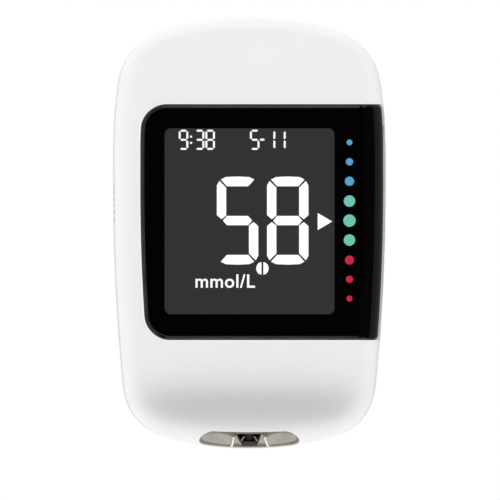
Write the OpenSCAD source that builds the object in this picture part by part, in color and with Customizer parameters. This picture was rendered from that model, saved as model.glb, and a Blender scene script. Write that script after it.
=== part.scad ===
// Blood glucose meter. A hand-held case of two snapped shells carries a wrap-round display lens,
// a strip port in its sloping nose, two side buttons, a strip ejector, a circuit board and
// two coin cells behind a hinged door.
// X points to the right of the display, Y to the top end, and Z out of the display.
// The back lies on z = 0, and the origin is under the middle of the case.

/* [Case outline] */
// Length of the case
body_l = 77; // [76:0.5:82]
// Width of the case
body_w = 48.9; // [48.7:0.1:54]
// Radius of the gently curved top end
top_r = 57; // [50:1:80]
// Radius of the two top corners
top_corner_r = 11.65; // [10.5:0.05:12.5]
// Radius of the upper part of each side
upper_side_r = 85; // [75:1:120]
// Height above the middle at which the upper side curve begins
upper_side_y = 15; // [13:0.5:16]
// Radius of the lower part of each side
lower_side_r = 360; // [300:10:500]
// Height above the middle at which the lower side curve begins
lower_side_y = 8; // [6:0.5:10]
// Radius of the two bottom corners
nose_corner_r = 10.4; // [10:0.1:11.5]
// Radius of the gently curved nose end
nose_end_r = 60; // [50:1:80]

/* [Case section] */
// Thickness of the case over the lens
body_t = 15.3; // [15.2:0.1:17]
// Wall thickness of both shells
wall = 1.5; // [1.4:0.05:1.6]
// Thickness of the deck under the lens
deck_t = 2.5; // [2.4:0.05:2.6]
// Height of the seam between the shells
seam_z = 5.4; // [5.3:0.1:5.6]
// Edge radius along the sides of the display side
side_edge = 3.5; // [3:0.1:3.8]
// Edge radius at the top end of the display side
top_edge = 2.4; // [1.8:0.1:3]
// Length over which the top edge radius changes into the side radius
top_edge_run = 12; // [9:1:14]
// Length of the sloping nose
nose_len = 17.5; // [15:0.5:19]
// Fall of the deck over the nose
nose_drop = 5; // [3.5:0.1:5.3]
// Reach of the edge rounding at the nose, along the deck
nose_edge_in = 4.5; // [3.5:0.1:5]
// Reach of the edge rounding at the nose, downwards
nose_edge_down = 4.2; // [3.5:0.1:4.3]
// Reach of the edge rounding of the back, along the back
back_edge_in = 2.4; // [1.8:0.1:2.6]
// Reach of the edge rounding of the back, upwards
back_edge_up = 3; // [2:0.1:3.4]
// Thickness of the front shell's outer lip at the seam
lip_t = 0.7; // [0.6:0.05:0.8]
// Height of the overlap at the seam
lip_h = 0.9; // [0.7:0.1:1]

/* [Display lens] */
// Thickness of the lens
lens_t = 1.4; // [1.2:0.1:1.5]
// Height of the lens above the shell
lens_proud = 0.3; // [0.2:0.05:0.5]
// Distance from the left side of the case to the lens
lens_margin = 4.7; // [4.4:0.1:5]
// Distance from the top end of the case to the lens
lens_top_margin = 15.6; // [15:0.1:16.2]
// Length of the lens
lens_l = 41.85; // [41.5:0.05:42.5]
// Radius of the two lens corners
lens_corner_r = 4.2; // [3:0.1:5]
// Rounding of the lens rim
lens_rim = 0.6; // [0.4:0.05:0.8]
// Thickness of the black print film
film_t = 0.12; // [0.08:0.02:0.16]
// Thickness of the adhesive frame
tape_t = 0.28; // [0.2:0.02:0.3]
// Distance from the lens edge to the display window
window_margin = 4.65; // [4.4:0.05:5]
// Width of the display window
window_w = 30.3; // [29:0.1:30.4]
// Height of the display window
window_h = 33.15; // [30:0.05:33.3]
// Distance from the top of the lens to the display window
window_top = 4.2; // [4:0.1:4.6]
// Distance from the display window to the row of range marks
mark_gap = 2.67; // [2:0.01:2.7]
// Distance between neighbouring range marks
mark_pitch = 3.48; // [3.2:0.01:3.5]
// Diameter of the middle range mark
mark_d = 2.3; // [1.8:0.1:2.4]
// Diameter of the outermost range marks
mark_end_d = 1.15; // [0.8:0.05:1.5]

/* [Display] */
// Thickness of each display glass
glass_t = 0.6; // [0.5:0.05:0.65]
// Reach of the display glass beyond the window
glass_reach = 2.3; // [2:0.1:2.6]
// Thickness of the light guide
guide_t = 1; // [0.8:0.1:1.1]
// Wall thickness of the display frame
frame_t = 0.85; // [0.7:0.05:0.9]
// Thickness of the display frame's floor
frame_floor_t = 0.6; // [0.5:0.1:0.7]

/* [Side buttons] */
// Length of each side button
button_l = 4.8; // [4.2:0.1:5.2]
// Height of each side button
button_h = 3.2; // [2.6:0.1:3.2]
// Distance from the top of the lens to the first button's middle
button_top = 6; // [5.5:0.1:6.4]
// Distance between the two buttons
button_pitch = 7.5; // [7.2:0.1:8]
// Depth of the button faces below the side of the case
button_sunk = 0.4; // [0.2:0.05:0.6]
// Travel of each button
button_travel = 0.35; // [0.2:0.05:0.35]
// Thickness of the wall that guides the buttons behind the lens
backing_t = 1; // [0.8:0.05:1]

/* [Strip ejector] */
// Length of the ejector's thumb pad
pad_l = 7; // [6:0.5:8]
// Height of the ejector's thumb pad
pad_h = 2.6; // [2.2:0.1:2.7]
// Travel of the ejector
eject_travel = 3.5; // [2.5:0.1:3.6]
// Outer diameter of the return spring
spring_d = 2.2; // [1.8:0.1:2.4]
// Wire diameter of the return spring
spring_wire = 0.3; // [0.2:0.05:0.4]
// Turns of the return spring
spring_turns = 8; // [5:1:9]

/* [Strip port] */
// Width of the port in the nose
port_w = 17.7; // [16:0.1:18.5]
// Height of the port in the nose
port_h = 5.2; // [4.8:0.1:5.4]
// Width of the strip slot
slot_w = 6.4; // [5.6:0.1:6.6]
// Height of the strip slot
slot_h = 0.7; // [0.6:0.05:0.8]

/* [Battery bay] */
// Diameter of a coin cell
cell_d = 20; // [19.8:0.1:20]
// Thickness of a coin cell
cell_t = 3.2; // [2.6:0.1:3.2]
// Distance from the top end of the case to the middle of the cells
bay_top = 23.5; // [23:0.1:24]
// Thickness of the wall round the cells
bay_wall = 0.9; // [0.8:0.1:1]
// Thickness of the battery door
door_t = 1.4; // [1.3:0.05:1.5]
// Depth of the door below the back face
door_sunk = 0.1; // [0.05:0.05:0.2]
// Diameter of the door's pivot pins
pivot_d = 0.9; // [0.8:0.05:1]

/* [Circuit board] */
// Thickness of the circuit board
pcb_t = 1; // [0.8:0.1:1]
// Diameter of the screw bosses
boss_d = 4; // [3.6:0.1:4.4]
// Diameter of the screws' shanks
screw_d = 1.5; // [1.3:0.1:1.7]
// Diameter of the screws' heads
screw_head_d = 3; // [2.6:0.1:3.2]
// Size of the microcontroller
chip_size = 8; // [7:0.5:9]
// Thickness of the microcontroller
chip_t = 1.2; // [1:0.1:1.5]
// Width of the radio module
radio_w = 8.5; // [8:0.5:10]
// Length of the radio module
radio_l = 7; // [6:0.5:7.5]
// Length of the crystal
crystal_l = 3.2; // [2.6:0.2:3.2]
// Length of the backlight's lamps
led_l = 3; // [2.4:0.2:3.6]

/* [Hidden] */

// Facets on exact round forms, and on the cutters of smooth forms
$fn = 48;
// Clearance between pieces that are seated in each other
fit = 0.1;
// Clearance round pieces that slide
slide_fit = 0.15;
// Overlap that makes a cut run past its face
past = 1;

// Heights above the back
deck_top = body_t - lens_proud;
lens_under = body_t - lens_t;
bond = 0.02;
film_under = lens_under - bond - film_t;
pocket_floor = film_under - tape_t;
deck_under = deck_top - deck_t;
door_z = door_sunk;
ledge_z = door_z + door_t + 0.05;
cell_z = ledge_z + 0.25;
cell_top = cell_z + cell_t;
bay_ceiling = cell_top + 0.6;
ceiling_t = 0.7;
pcb_z = bay_ceiling + ceiling_t + 0.3;
pcb_top = pcb_z + pcb_t;
glass_top = deck_under - fit;
guide_top = glass_top - 2 * glass_t - 0.05;
frame_floor = guide_top - guide_t;

// Outline of the case: arcs that meet without a kink, given for the right half
half_l = body_l / 2;
half_w = body_w / 2;
top_c = [0, half_l - top_r];
upper_c = [half_w - upper_side_r, upper_side_y];
lower_c = [half_w - lower_side_r, lower_side_y];
nose_c = [0, nose_end_r - half_l];

// Right-hand meeting point of two circles
function meet(c1, r1, c2, r2) =
    let (v = c2 - c1, d = norm(v), a = (r1 * r1 - r2 * r2 + d * d) / (2 * d), h = sqrt(r1 * r1 - a * a),
         mid = c1 + v * a / d, across = [-v.y, v.x] * h / d)
    (mid + across).x > (mid - across).x ? mid + across : mid - across;
function bearing(from, to) = atan2(to.y - from.y, to.x - from.x);

top_k = meet(top_c, top_r - top_corner_r, upper_c, upper_side_r - top_corner_r);
nose_k = meet(nose_c, nose_end_r - nose_corner_r, lower_c, lower_side_r - nose_corner_r);
top_a = bearing(top_c, top_k);
upper_a = bearing(upper_c, top_k);
lower_a = bearing(lower_c, nose_k);
nose_a = bearing(nose_c, nose_k);

// An arc as stations of centre, radius and angle, without its last station
function arc_run(c, r, from, to, steps) =
    [for (i = [0 : steps - 1]) [c.x, c.y, r, from + (to - from) * i / steps]];

stations = concat(
    arc_run(top_c, top_r, 90, top_a, 4),
    arc_run(top_k, top_corner_r, top_a, upper_a, 7),
    arc_run(upper_c, upper_side_r, upper_a, 0, 2),
    [[upper_c.x, upper_c.y, upper_side_r, 0]],
    arc_run(lower_c, lower_side_r, 0, lower_a, 4),
    arc_run(nose_k, nose_corner_r, lower_a, nose_a, 7),
    arc_run(nose_c, nose_end_r, nose_a, -90, 4),
    [[nose_c.x, nose_c.y, nose_end_r, -90]]);
m = len(stations) - 1;

// Point of the outline at a station, moved inwards
function outline_at(k, inset) =
    let (s = stations[k]) [s[0] + (s[2] - inset) * cos(s[3]), s[1] + (s[2] - inset) * sin(s[3])];
// Half width of the outline along the sides, moved inwards
function half_width(y, inset) =
    y > upper_side_y ? upper_c.x + sqrt(pow(upper_side_r - inset, 2) - pow(y - upper_side_y, 2)) :
    y < lower_side_y ? lower_c.x + sqrt(pow(lower_side_r - inset, 2) - pow(y - lower_side_y, 2)) :
    half_w - inset;

// Top of the deck, which falls along an arc over the nose
nose_y = nose_len - half_l;
nose_fall_r = (nose_len * nose_len + nose_drop * nose_drop) / (2 * nose_drop);
function fall(y) =
    y >= nose_y ? 0 : nose_fall_r - sqrt(nose_fall_r * nose_fall_r - pow(nose_y - y, 2));
function ease(t) = let (u = max(0, min(1, t))) u * u * (3 - 2 * u);
function at_nose(y) = ease((nose_y - y) / nose_len);
function at_top(y) = ease((y - half_l + top_edge_run) / (0.7 * top_edge_run));
function edge_in(y) =
    side_edge + (nose_edge_in - side_edge) * at_nose(y) + (top_edge - side_edge) * at_top(y);
function edge_down(y) =
    side_edge + (nose_edge_down - side_edge) * at_nose(y) + (top_edge - side_edge) * at_top(y);

// Lens, window and range marks
side_gap = 0.08;
wrap_depth = lens_t + bond + film_t + side_gap;
lens_y1 = half_l - lens_top_margin;
lens_y0 = lens_y1 - lens_l;
lens_foot = seam_z + 0.05;
lens_step = seam_z + lip_h + slide_fit;
wrap_angles = [90 : -15 : 0];
film_inset = 0.4;
window_x0 = window_margin + lens_margin - half_w;
window_x1 = window_x0 + window_w;
window_y1 = lens_y1 - window_top;
window_y0 = window_y1 - window_h;
mark_x = window_x1 + mark_gap;
mark_y = (window_y0 + window_y1) / 2 + 0.12;

// Side buttons, their flanges, switches and plungers
button_z = pcb_top + 2;
button_ys = [lens_y1 - button_top, lens_y1 - button_top - button_pitch];
flange_t = 0.5;
flange_l = button_l + 1.4;
flange_x = half_width(button_ys[0] + flange_l / 2, wrap_depth + backing_t) - 0.05;
switch_h = 1.8;
switch_z = pcb_top + 0.95;
plunger_d = 1;
plunger_tip = flange_x - flange_t - 0.4;
switch_x = [plunger_tip - 3, plunger_tip - 0.5];
plunger_bore = [switch_x[1] - 1.4, switch_x[1] + past];

// Display frame, which ends short of the pressed buttons, the glass in it, and the opening in
// the deck over the glass
frame_x1 = flange_x - flange_t - button_travel - 0.1;
glass_x = [window_x0 - glass_reach, frame_x1 - frame_t - slide_fit];
glass_y = [window_y0 - glass_reach - 0.65, window_y1 + glass_reach];
sight_x = [window_x0 - 1.2, glass_x[1] - 0.3];
sight_y = [window_y0 - 1.2, window_y1 + 1.2];
lcd_frame_x = grown(glass_x, slide_fit + frame_t);
lcd_frame_y = grown(glass_y, slide_fit + frame_t);
zebra_y = [glass_y[0] + 0.3, glass_y[0] + 1.3];
zebra_x = grown(glass_x, -3);

// Snap tabs
tab_w = 4;
tab_t = 0.8;
tab_low = 3.5;
tab_ys = [lower_side_y + 3, lens_y0 + 4.5];

// Strip port, slot and connector
slot_z = pcb_top + 1.45;
port_back = -half_l + 5.3;
port_z = slot_z - 0.1;
connector_w = 12.8;
connector_h = 3.25;
seat_t = 1.2;
contact_w = 0.5;
contact_xs = [for (i = [-1, 1], x = [1.75, 2.7]) i * x];

// Strip ejector and its spring
bar_t = 1.7;
bar_y1 = lcd_frame_y[0] - 0.3;
bar_y0 = bar_y1 - bar_t;
connector_y = [port_back + 0.1, bar_y0 - eject_travel - 0.7];
arm_z = [pcb_top + 0.5, pcb_top + 1.7];
pad_z = pcb_top + 2.4;
pad_y = [lower_side_y - pad_l + 1, lower_side_y + 1];
slide_y = [pad_y[0] - eject_travel - slide_fit - 1.6, pad_y[1] + eject_travel + slide_fit + 1];
slide_x = -half_width(slide_y[0] - eject_travel, wall + 0.5);
arm_x = -half_width(bar_y0 - eject_travel, wall + 0.4);
finger_w = 2.4;
spring_x = 9.3;
spring_z = pcb_top + 1.4;
spring_y = [connector_y[0] + seat_t, bar_y0];

// Socket at the top end
usb_w = 7.5;
usb_h = 2.5;
usb_y = [half_l - 5.8, half_l - 0.3];
usb_z = pcb_top + usb_h / 2;

// Battery bay and door
bay_y = half_l - bay_top;
cell_gap = 0.7;
cell_fit = 0.3;
cell_x = (cell_d + cell_gap) / 2;
seat_r = cell_d / 2 + cell_fit;
door_lap = 0.7;
door_half = cell_x + seat_r + door_lap;
door_y = [bay_y - seat_r - door_lap, bay_y + seat_r + 0.9];
door_corner = 2;
scoop_r = 3;
scoop_w = 10;
scoop_deep = 0.8;
pivot_y = door_y[0] + door_t / 2;
pivot_z = door_z + door_t / 2;
pivot_reach = 0.8;

// Battery contacts: leaves over the cells with their feet, and tabs at the cells' far sides
leaf_t = 0.2;
leaf_w = 3;
leaf_foot = 5;
leaf_bend = 2.5;
leaf_tip = 4.2;
tab_up_w = 3.6;
tab_foot_w = 1.4;

// Circuit board
pcb_inset = wrap_depth + backing_t + 0.4;
screw_points = [for (side = [-1, 1], p = [[half_w - 9.15, half_l - 7.8], [half_w - 9.45, 9 - half_l]])
    [side * p.x, p.y]];
screw_l = 4.5;
chip_x = -4;
chip_y = window_y0 + 14;
lead_l = 0.8;
lead_pitch = 0.6;
part_l = 1;
part_w = 0.5;

// Closed ring round the case, from the top end clockwise, with its own inset and height
function case_ring(inset, height) =
    [for (i = [0 : 2 * m - 1]) let (
        k = i <= m ? i : 2 * m - i,
        y = outline_at(k, 0).y,
        p = outline_at(k, inset(y))) [i <= m ? p.x : -p.x, p.y, height(y, p.y)]];

// Solid through a stack of case rings, closed across by strips from side to side
module case_loft(rings, upwards = false) {
    n = 2 * m;
    last = (len(rings) - 1) * n;
    sides = [for (r = [0 : len(rings) - 2], i = [0 : n - 1]) let (
        a = r * n + i, b = r * n + (i + 1) % n, c = b + n, d = a + n) each [[a, d, c], [a, c, b]]];
    strips = concat([[0, 1, n - 1]],
        [for (k = [1 : m - 2]) each [[k, k + 1, n - k - 1], [k, n - k - 1, n - k]]],
        [[m - 1, m, m + 1]]);
    far_strips = [for (f = strips) [f[2] + last, f[1] + last, f[0] + last]];
    faces = concat(sides, strips, far_strips);
    polyhedron([for (r = rings) each r], upwards ? [for (f = faces) [f[2], f[1], f[0]]] : faces);
}

// Outer skin of the front shell, moved inwards, down to the seam
function front_skin(inset) = concat(
    [for (a = [90 : -22.5 : 0]) case_ring(
        function(y) inset + (edge_in(y) - inset) * (1 - cos(a)),
        function(y, at_y) deck_top - fall(at_y) - inset - (edge_down(y) - inset) * (1 - sin(a)))],
    [case_ring(function(y) inset, function(y, at_y) seam_z)]);
// Underside of the deck: flat under the lens, and one wall under the nose
function ceiling_at(y) = min(deck_under, deck_top - fall(y) - wall);

front_rings = concat(
    front_skin(0),
    [case_ring(function(y) lip_t, function(y, at_y) seam_z),
     case_ring(function(y) lip_t, function(y, at_y) seam_z + lip_h + fit),
     case_ring(function(y) wall, function(y, at_y) seam_z + lip_h + fit)],
    [for (a = [0 : 30 : 90]) case_ring(
        function(y) wall + (edge_in(y) - wall) * (1 - cos(a)),
        function(y, at_y) ceiling_at(at_y) - (edge_down(y) - wall) * (1 - sin(a)))]);

rear_rings = concat(
    [for (a = [90 : -22.5 : 0]) case_ring(
        function(y) back_edge_in * (1 - cos(a)), function(y, at_y) back_edge_up * (1 - sin(a)))],
    [case_ring(function(y) 0, function(y, at_y) seam_z),
     case_ring(function(y) lip_t + fit, function(y, at_y) seam_z),
     case_ring(function(y) lip_t + fit, function(y, at_y) seam_z + lip_h),
     case_ring(function(y) wall, function(y, at_y) seam_z + lip_h)],
    [for (a = [0 : 45 : 90]) case_ring(
        function(y) wall + (back_edge_in - wall) * (1 - cos(a)),
        function(y, at_y) wall + (back_edge_up - wall) * (1 - sin(a)))]);

// Solid between an outer and an inner path, carried along Y through a list of heights
module sheet_loft(ys, outer, inner) {
    n = len(outer(ys[0]));
    rings = [for (y = ys) concat(
        [for (p = outer(y)) [p.x, y, p.y]],
        [let (q = inner(y)) for (i = [n - 1 : -1 : 0]) [q[i].x, y, q[i].y]])];
    last = (len(ys) - 1) * 2 * n;
    sides = [for (r = [0 : len(ys) - 2], i = [0 : 2 * n - 1]) let (
        a = r * 2 * n + i, b = r * 2 * n + (i + 1) % (2 * n), c = b + 2 * n, d = a + 2 * n)
        each [[a, d, c], [a, c, b]]];
    near_end = [for (k = [0 : n - 2])
        each [[k, k + 1, 2 * n - 2 - k], [k, 2 * n - 2 - k, 2 * n - 1 - k]]];
    far_end = [for (f = near_end) [f[2] + last, f[1] + last, f[0] + last]];
    polyhedron([for (r = rings) each r], concat(sides, near_end, far_end));
}

// Lens: its ends are straight, its left edge follows the case, and its right side wraps down
// Distance from the nearer end of the lens, grown or shrunk all round
function end_gap(y, grow) = min(lens_y1 + grow - y, y - lens_y0 + grow);
function corner_cut(e, r) = e >= r ? 0 : r - sqrt(max(0, r * r - pow(r - e, 2)));
function lens_left(y, grow) =
    corner_cut(end_gap(y, grow), lens_corner_r + grow) - half_width(y, lens_margin - grow);
function lens_ys(grow) = let (
    ends = [for (e = [0, 0.012, 0.035, 0.07, 0.135, 0.29, 0.5, 0.74, 1]) e * (lens_corner_r + grow)],
    low = lens_y0 - grow, high = lens_y1 + grow, reach = lens_corner_r + grow, count = 6)
    concat([for (e = ends) low + e],
        [for (i = [1 : count - 1]) low + reach + (high - low - 2 * reach) * i / count],
        [for (i = [len(ends) - 1 : -1 : 0]) high - ends[i]]);
// Round right-hand edge of a sheet at a depth below the lens
function wrap(y, depth_x, depth_z) =
    [for (a = wrap_angles) [half_width(y, 0) - side_edge + (side_edge - depth_x) * cos(a),
                            body_t - side_edge + (side_edge - depth_z) * sin(a)]];

function lens_outer(y) =
    let (x = lens_left(y, 0), w = half_width(y, 0), dip = corner_cut(end_gap(y, 0), lens_rim)) concat(
        [[x, body_t - max(dip, lens_rim)],
         [x + lens_rim * (1 - cos(45)), body_t - max(dip, lens_rim * (1 - sin(45)))],
         [x + lens_rim, body_t - dip]],
        wrap(y, dip, dip),
        [[w - dip, lens_step + 0.4], [w - dip, lens_step - 0.3], [w - dip, lens_foot]]);
function lens_inner(y) = let (x = lens_left(y, 0), w = half_width(y, 0))
    concat(
        [[x, lens_under], [x + lens_rim * (1 - cos(45)), lens_under], [x + lens_rim, lens_under]],
        wrap(y, lens_t, lens_t),
        [[w - lens_t, lens_step], [w - lip_t, lens_step], [w - lip_t, lens_foot]]);

module display_lens() {
    color([0.05, 0.05, 0.06])
    difference() {
        sheet_loft(lens_ys(0), function(y) lens_outer(y), function(y) lens_inner(y));
        for (y = button_ys) button_hole(y);
    }
}

// Film path at a depth below the lens
function film_path(y, depth) = concat(
    [[lens_left(y, -film_inset), body_t - depth]],
    wrap(y, depth, depth),
    [[half_width(y, depth), lens_step + fit]]);
module lens_mask() {
    color([0.02, 0.02, 0.02])
    difference() {
        sheet_loft(lens_ys(-film_inset),
            function(y) film_path(y, lens_t + bond), function(y) film_path(y, lens_t + bond + film_t));
        slab([window_x0, window_x1], [window_y0, window_y1], [film_under - past, lens_under + past]);
        for (k = [-4 : 4])
            translate([mark_x, mark_y + k * mark_pitch, film_under - past])
                cylinder(d = mark_size(k), h = film_t + bond + 2 * past);
        for (y = button_ys) button_hole(y);
    }
}

// Display window, and the row of range marks beside it
// The marks shrink from the middle of the row to its ends
function mark_size(k) = mark_end_d + (mark_d - mark_end_d) * pow(cos(90 * abs(k) / 4), 1.2);

module range_marks() {
    mark_colors = ["indianred", "mediumaquamarine", "cornflowerblue"];
    for (k = [-4 : 4])
        color(mark_colors[floor((k + 4) / 3)])
            translate([mark_x, mark_y + k * mark_pitch, film_under])
                cylinder(d = mark_size(k) - fit, h = film_t);
}

// Frame of adhesive tape under the lens
module lens_adhesive() {
    ys = lens_ys(-film_inset);
    n = len(ys);
    color("dimgray")
    difference() {
        translate([0, 0, pocket_floor])
            linear_extrude(tape_t)
                polygon(concat([for (y = ys) [lens_left(y, -film_inset), y]],
                    [for (i = [n - 1 : -1 : 0]) [half_width(ys[i], side_edge), ys[i]]]));
        slab(grown(sight_x, 0.3), grown(sight_y, 0.3), [pocket_floor - past, film_under + past]);
    }
}

// A box between pairs of limits, and a pair of limits moved apart
module slab(xs, ys, zs) {
    translate([xs[0], ys[0], zs[0]]) cube([xs[1] - xs[0], ys[1] - ys[0], zs[1] - zs[0]]);
}
function grown(pair, by) = [pair[0] - by, pair[1] + by];
function about(middle, size) = [middle - size / 2, middle + size / 2];

// A box with four round corners, seen from above
module round_slab(xs, ys, zs, r) {
    slab(grown(xs, -r), ys, zs);
    slab(xs, grown(ys, -r), zs);
    for (x = grown(xs, -r), y = grown(ys, -r))
        translate([x, y, zs[0]]) cylinder(r = r, h = zs[1] - zs[0]);
}

// Pocket for the lens in the front shell: flat under the lens, and open down the right side
module lens_pocket() {
    far = 3;
    sheet_loft(lens_ys(fit),
        function(y) concat([[lens_left(y, fit), body_t + far]], wrap(y, -far, -far),
            [[half_width(y, -far), seam_z - past]]),
        function(y) concat([[lens_left(y, fit), pocket_floor]],
            wrap(y, wrap_depth, body_t - pocket_floor),
            [[half_width(y, wrap_depth), seam_z - past]]));
}

// Wall behind the lens's right side, which guides the buttons
module backing_wall() {
    low = lens_y0 - 1.6;
    high = lens_y1 + 1.6;
    steps = 10;
    ys = [for (i = [0 : steps]) low + (high - low) * i / steps];
    translate([0, 0, lens_step + 0.05])
        linear_extrude(deck_under + 0.3 - lens_step)
            polygon(concat([for (y = ys) [half_width(y, wall - 0.2), y]],
                [for (i = [steps : -1 : 0]) [half_width(ys[i], wrap_depth + backing_t), ys[i]]]));
}

// Side buttons
module button_hole(y) {
    r = 1;
    reach = wrap_depth + backing_t + past;
    rounded_x([half_w - reach, half_w + past], about(y, button_l + 2 * slide_fit),
        about(button_z, button_h + 2 * slide_fit), r + slide_fit);
}
// A box with four round corners, seen along X
module rounded_x(xs, ys, zs, r) {
    slab(xs, grown(ys, -r), zs);
    slab(xs, ys, grown(zs, -r));
    for (y = grown(ys, -r), z = grown(zs, -r))
        translate([xs[0], y, z]) rotate([0, 90, 0]) cylinder(r = r, h = xs[1] - xs[0]);
}
// A button with its flange, and the nub that meets the switch plunger
module side_button(y) {
    rounded_x([flange_x - flange_t / 2, half_width(y, button_sunk)], about(y, button_l),
        about(button_z, button_h), 1);
    slab([flange_x - flange_t, flange_x], about(y, flange_l), about(button_z, button_h));
    translate([plunger_tip, y, switch_z]) rotate([0, 90, 0])
        cylinder(d = plunger_d + 0.4, h = flange_x - plunger_tip - flange_t / 2);
}
module button_forward() {
    color([0.08, 0.08, 0.09]) side_button(button_ys[0]);
}
module button_back() {
    color([0.08, 0.08, 0.09]) side_button(button_ys[1]);
}

// Side switches on the edge of the circuit board, and their plungers
module side_switches() {
    color("silver")
    for (y = button_ys)
        difference() {
            slab(switch_x, about(y, 4), [pcb_top, pcb_top + switch_h]);
            translate([plunger_bore[0], y, switch_z]) rotate([0, 90, 0])
                cylinder(d = plunger_d + 0.1, h = plunger_bore[1] - plunger_bore[0]);
        }
}
module switch_plunger(y) {
    color("black")
    translate([plunger_bore[0] + button_travel + 0.15, y, switch_z]) rotate([0, 90, 0])
        cylinder(d = plunger_d, h = plunger_tip - plunger_bore[0] - button_travel - 0.15);
}
module switch_plunger_forward() {
    switch_plunger(button_ys[0]);
}
module switch_plunger_back() {
    switch_plunger(button_ys[1]);
}

// Snap tabs of the front shell, and the pockets for them in the rear shell's wall
module snap_tabs() {
    for (y = tab_ys, side = [-1, 1]) {
        face = half_width(y, wall + fit) - 0.04;
        limits = [face - tab_t, face];
        slab(side > 0 ? limits : [-limits[1], -limits[0]], about(y, tab_w), [tab_low, seam_z + lip_h + 1.2]);
        slab(side > 0 ? [face - 0.5, face + 1] : [-face - 1, 0.5 - face], about(y, tab_w),
            [lens_step + 0.05, seam_z + lip_h + 1.2]);
        slab(side > 0 ? [face - 0.2, face + 0.35] : [-face - 0.35, 0.2 - face],
            about(y, tab_w), [tab_low + 0.1, tab_low + 0.7]);
    }
}
module snap_pockets() {
    for (y = tab_ys, side = [-1, 1]) {
        face = half_width(y, wall);
        slab(side > 0 ? [face - 1, face + 0.4] : [-face - 0.4, 1 - face],
            about(y, tab_w + 0.6), [tab_low - 0.05, tab_low + 0.95]);
    }
}

// Strip ejector: a thumb pad in a slot on the left side, a slide behind the wall, an arm,
// and a finger that reaches into the strip connector
module strip_ejector() {
    color("gainsboro") {
        difference() {
            slab([-half_width(pad_y[0] - eject_travel, 0.15), slide_x + 0.5], pad_y, about(pad_z, pad_h));
            for (i = [0 : 4])
                slab([-half_w - past, 0.35 - half_width(pad_y[0] - eject_travel, 0.15)],
                    about(pad_y[0] + pad_l * (i + 1) / 6, 0.5), about(pad_z, pad_h + 2 * past));
        }
        slab([slide_x, slide_x + 1.4], slide_y, [pcb_top + 0.5, pad_z + pad_h / 2 + 0.35]);
        slab([arm_x, arm_x + 1.2], [bar_y0, slide_y[0] + 2], arm_z);
        slab([slide_x, arm_x + 1.2], [slide_y[0], slide_y[0] + 2], arm_z);
        slab([arm_x, spring_x + spring_d / 2 + 0.2], [bar_y0, bar_y1], arm_z);
        slab(about(spring_x, spring_d + 0.4), [bar_y0, bar_y1], about(spring_z, spring_d + 0.4));
        slab(about(0, finger_w), [connector_y[1] - 1.4, bar_y0 + 0.5], about(slot_z, slot_h - 0.2));
    }
}
module ejector_slot() {
    slab([-half_w - past, -half_w + wall + past],
        [pad_y[0] - eject_travel - slide_fit, pad_y[1] + slide_fit], about(pad_z, pad_h + 2 * slide_fit));
}

// Return spring: one wire on a helix, between the connector's seat and the ejector's bar
module ejector_spring() {
    sides = 6;
    per_turn = 10;
    count = spring_turns * per_turn;
    r = (spring_d - spring_wire) / 2;
    length = spring_y[1] - spring_y[0] - spring_wire - 0.04;
    points = [for (i = [0 : count], s = [0 : sides - 1]) let (
        turn = 360 * i / per_turn, a = 360 * s / sides, q = r + spring_wire / 2 * cos(a))
        [q * cos(turn), spring_wire / 2 + 0.02 + length * i / count + spring_wire / 2 * sin(a), q * sin(turn)]];
    faces = [for (i = [0 : count - 1], s = [0 : sides - 1]) let (
        a = i * sides + s, b = i * sides + (s + 1) % sides, c = b + sides, d = a + sides)
        each [[a, b, c], [a, c, d]]];
    ends = concat([for (s = [1 : sides - 2]) [0, s + 1, s]],
        [for (s = [1 : sides - 2]) let (n = count * sides) [n, n + s, n + s + 1]]);
    color("silver") translate([spring_x, spring_y[0], spring_z]) polyhedron(points, concat(faces, ends));
}
echo(spring_gap = (spring_y[1] - spring_y[0] - spring_wire) / spring_turns - spring_wire);

// Strip connector on the board, with the seat of the spring at its side
module strip_connector() {
    color([0.12, 0.12, 0.13])
    difference() {
        union() {
            slab(about(0, connector_w), connector_y, [pcb_top, pcb_top + connector_h]);
            slab([0, spring_x + spring_d / 2 + 0.2], [connector_y[0], connector_y[0] + seat_t],
                [pcb_top, pcb_top + 0.5]);
            slab(about(spring_x, spring_d + 0.4), [connector_y[0], connector_y[0] + seat_t],
                [pcb_top, spring_z + spring_d / 2 + 0.1]);
        }
        slab(about(0, slot_w), grown(connector_y, past), about(slot_z, slot_h));
        for (x = contact_xs)
            slab(about(x, contact_w + 0.2), [connector_y[0] + 1, connector_y[1] + past],
                [slot_z, pcb_top + connector_h + past]);
    }
}
module strip_contacts() {
    top = pcb_top + connector_h - 0.1;
    tip = connector_y[0] + 1.6;
    back = connector_y[1];
    t = 0.2;
    low = slot_z + 0.1;
    color("gold")
    for (x = contact_xs)
        translate([x + contact_w / 2, 0, 0]) rotate([0, -90, 0]) linear_extrude(contact_w)
            polygon([[pcb_top, back + 0.05], [pcb_top, back + 0.25], [top, back + 0.25], [top, back - 1.2],
                     [low + t, tip + 1.8], [low + t, tip + 0.9], [low + 1, tip], [low + 1 - t, tip],
                     [low, tip + 0.9], [low, tip + 1.8], [top - t, back - 1.2], [top - t, back + 0.05]]);
}

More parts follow.
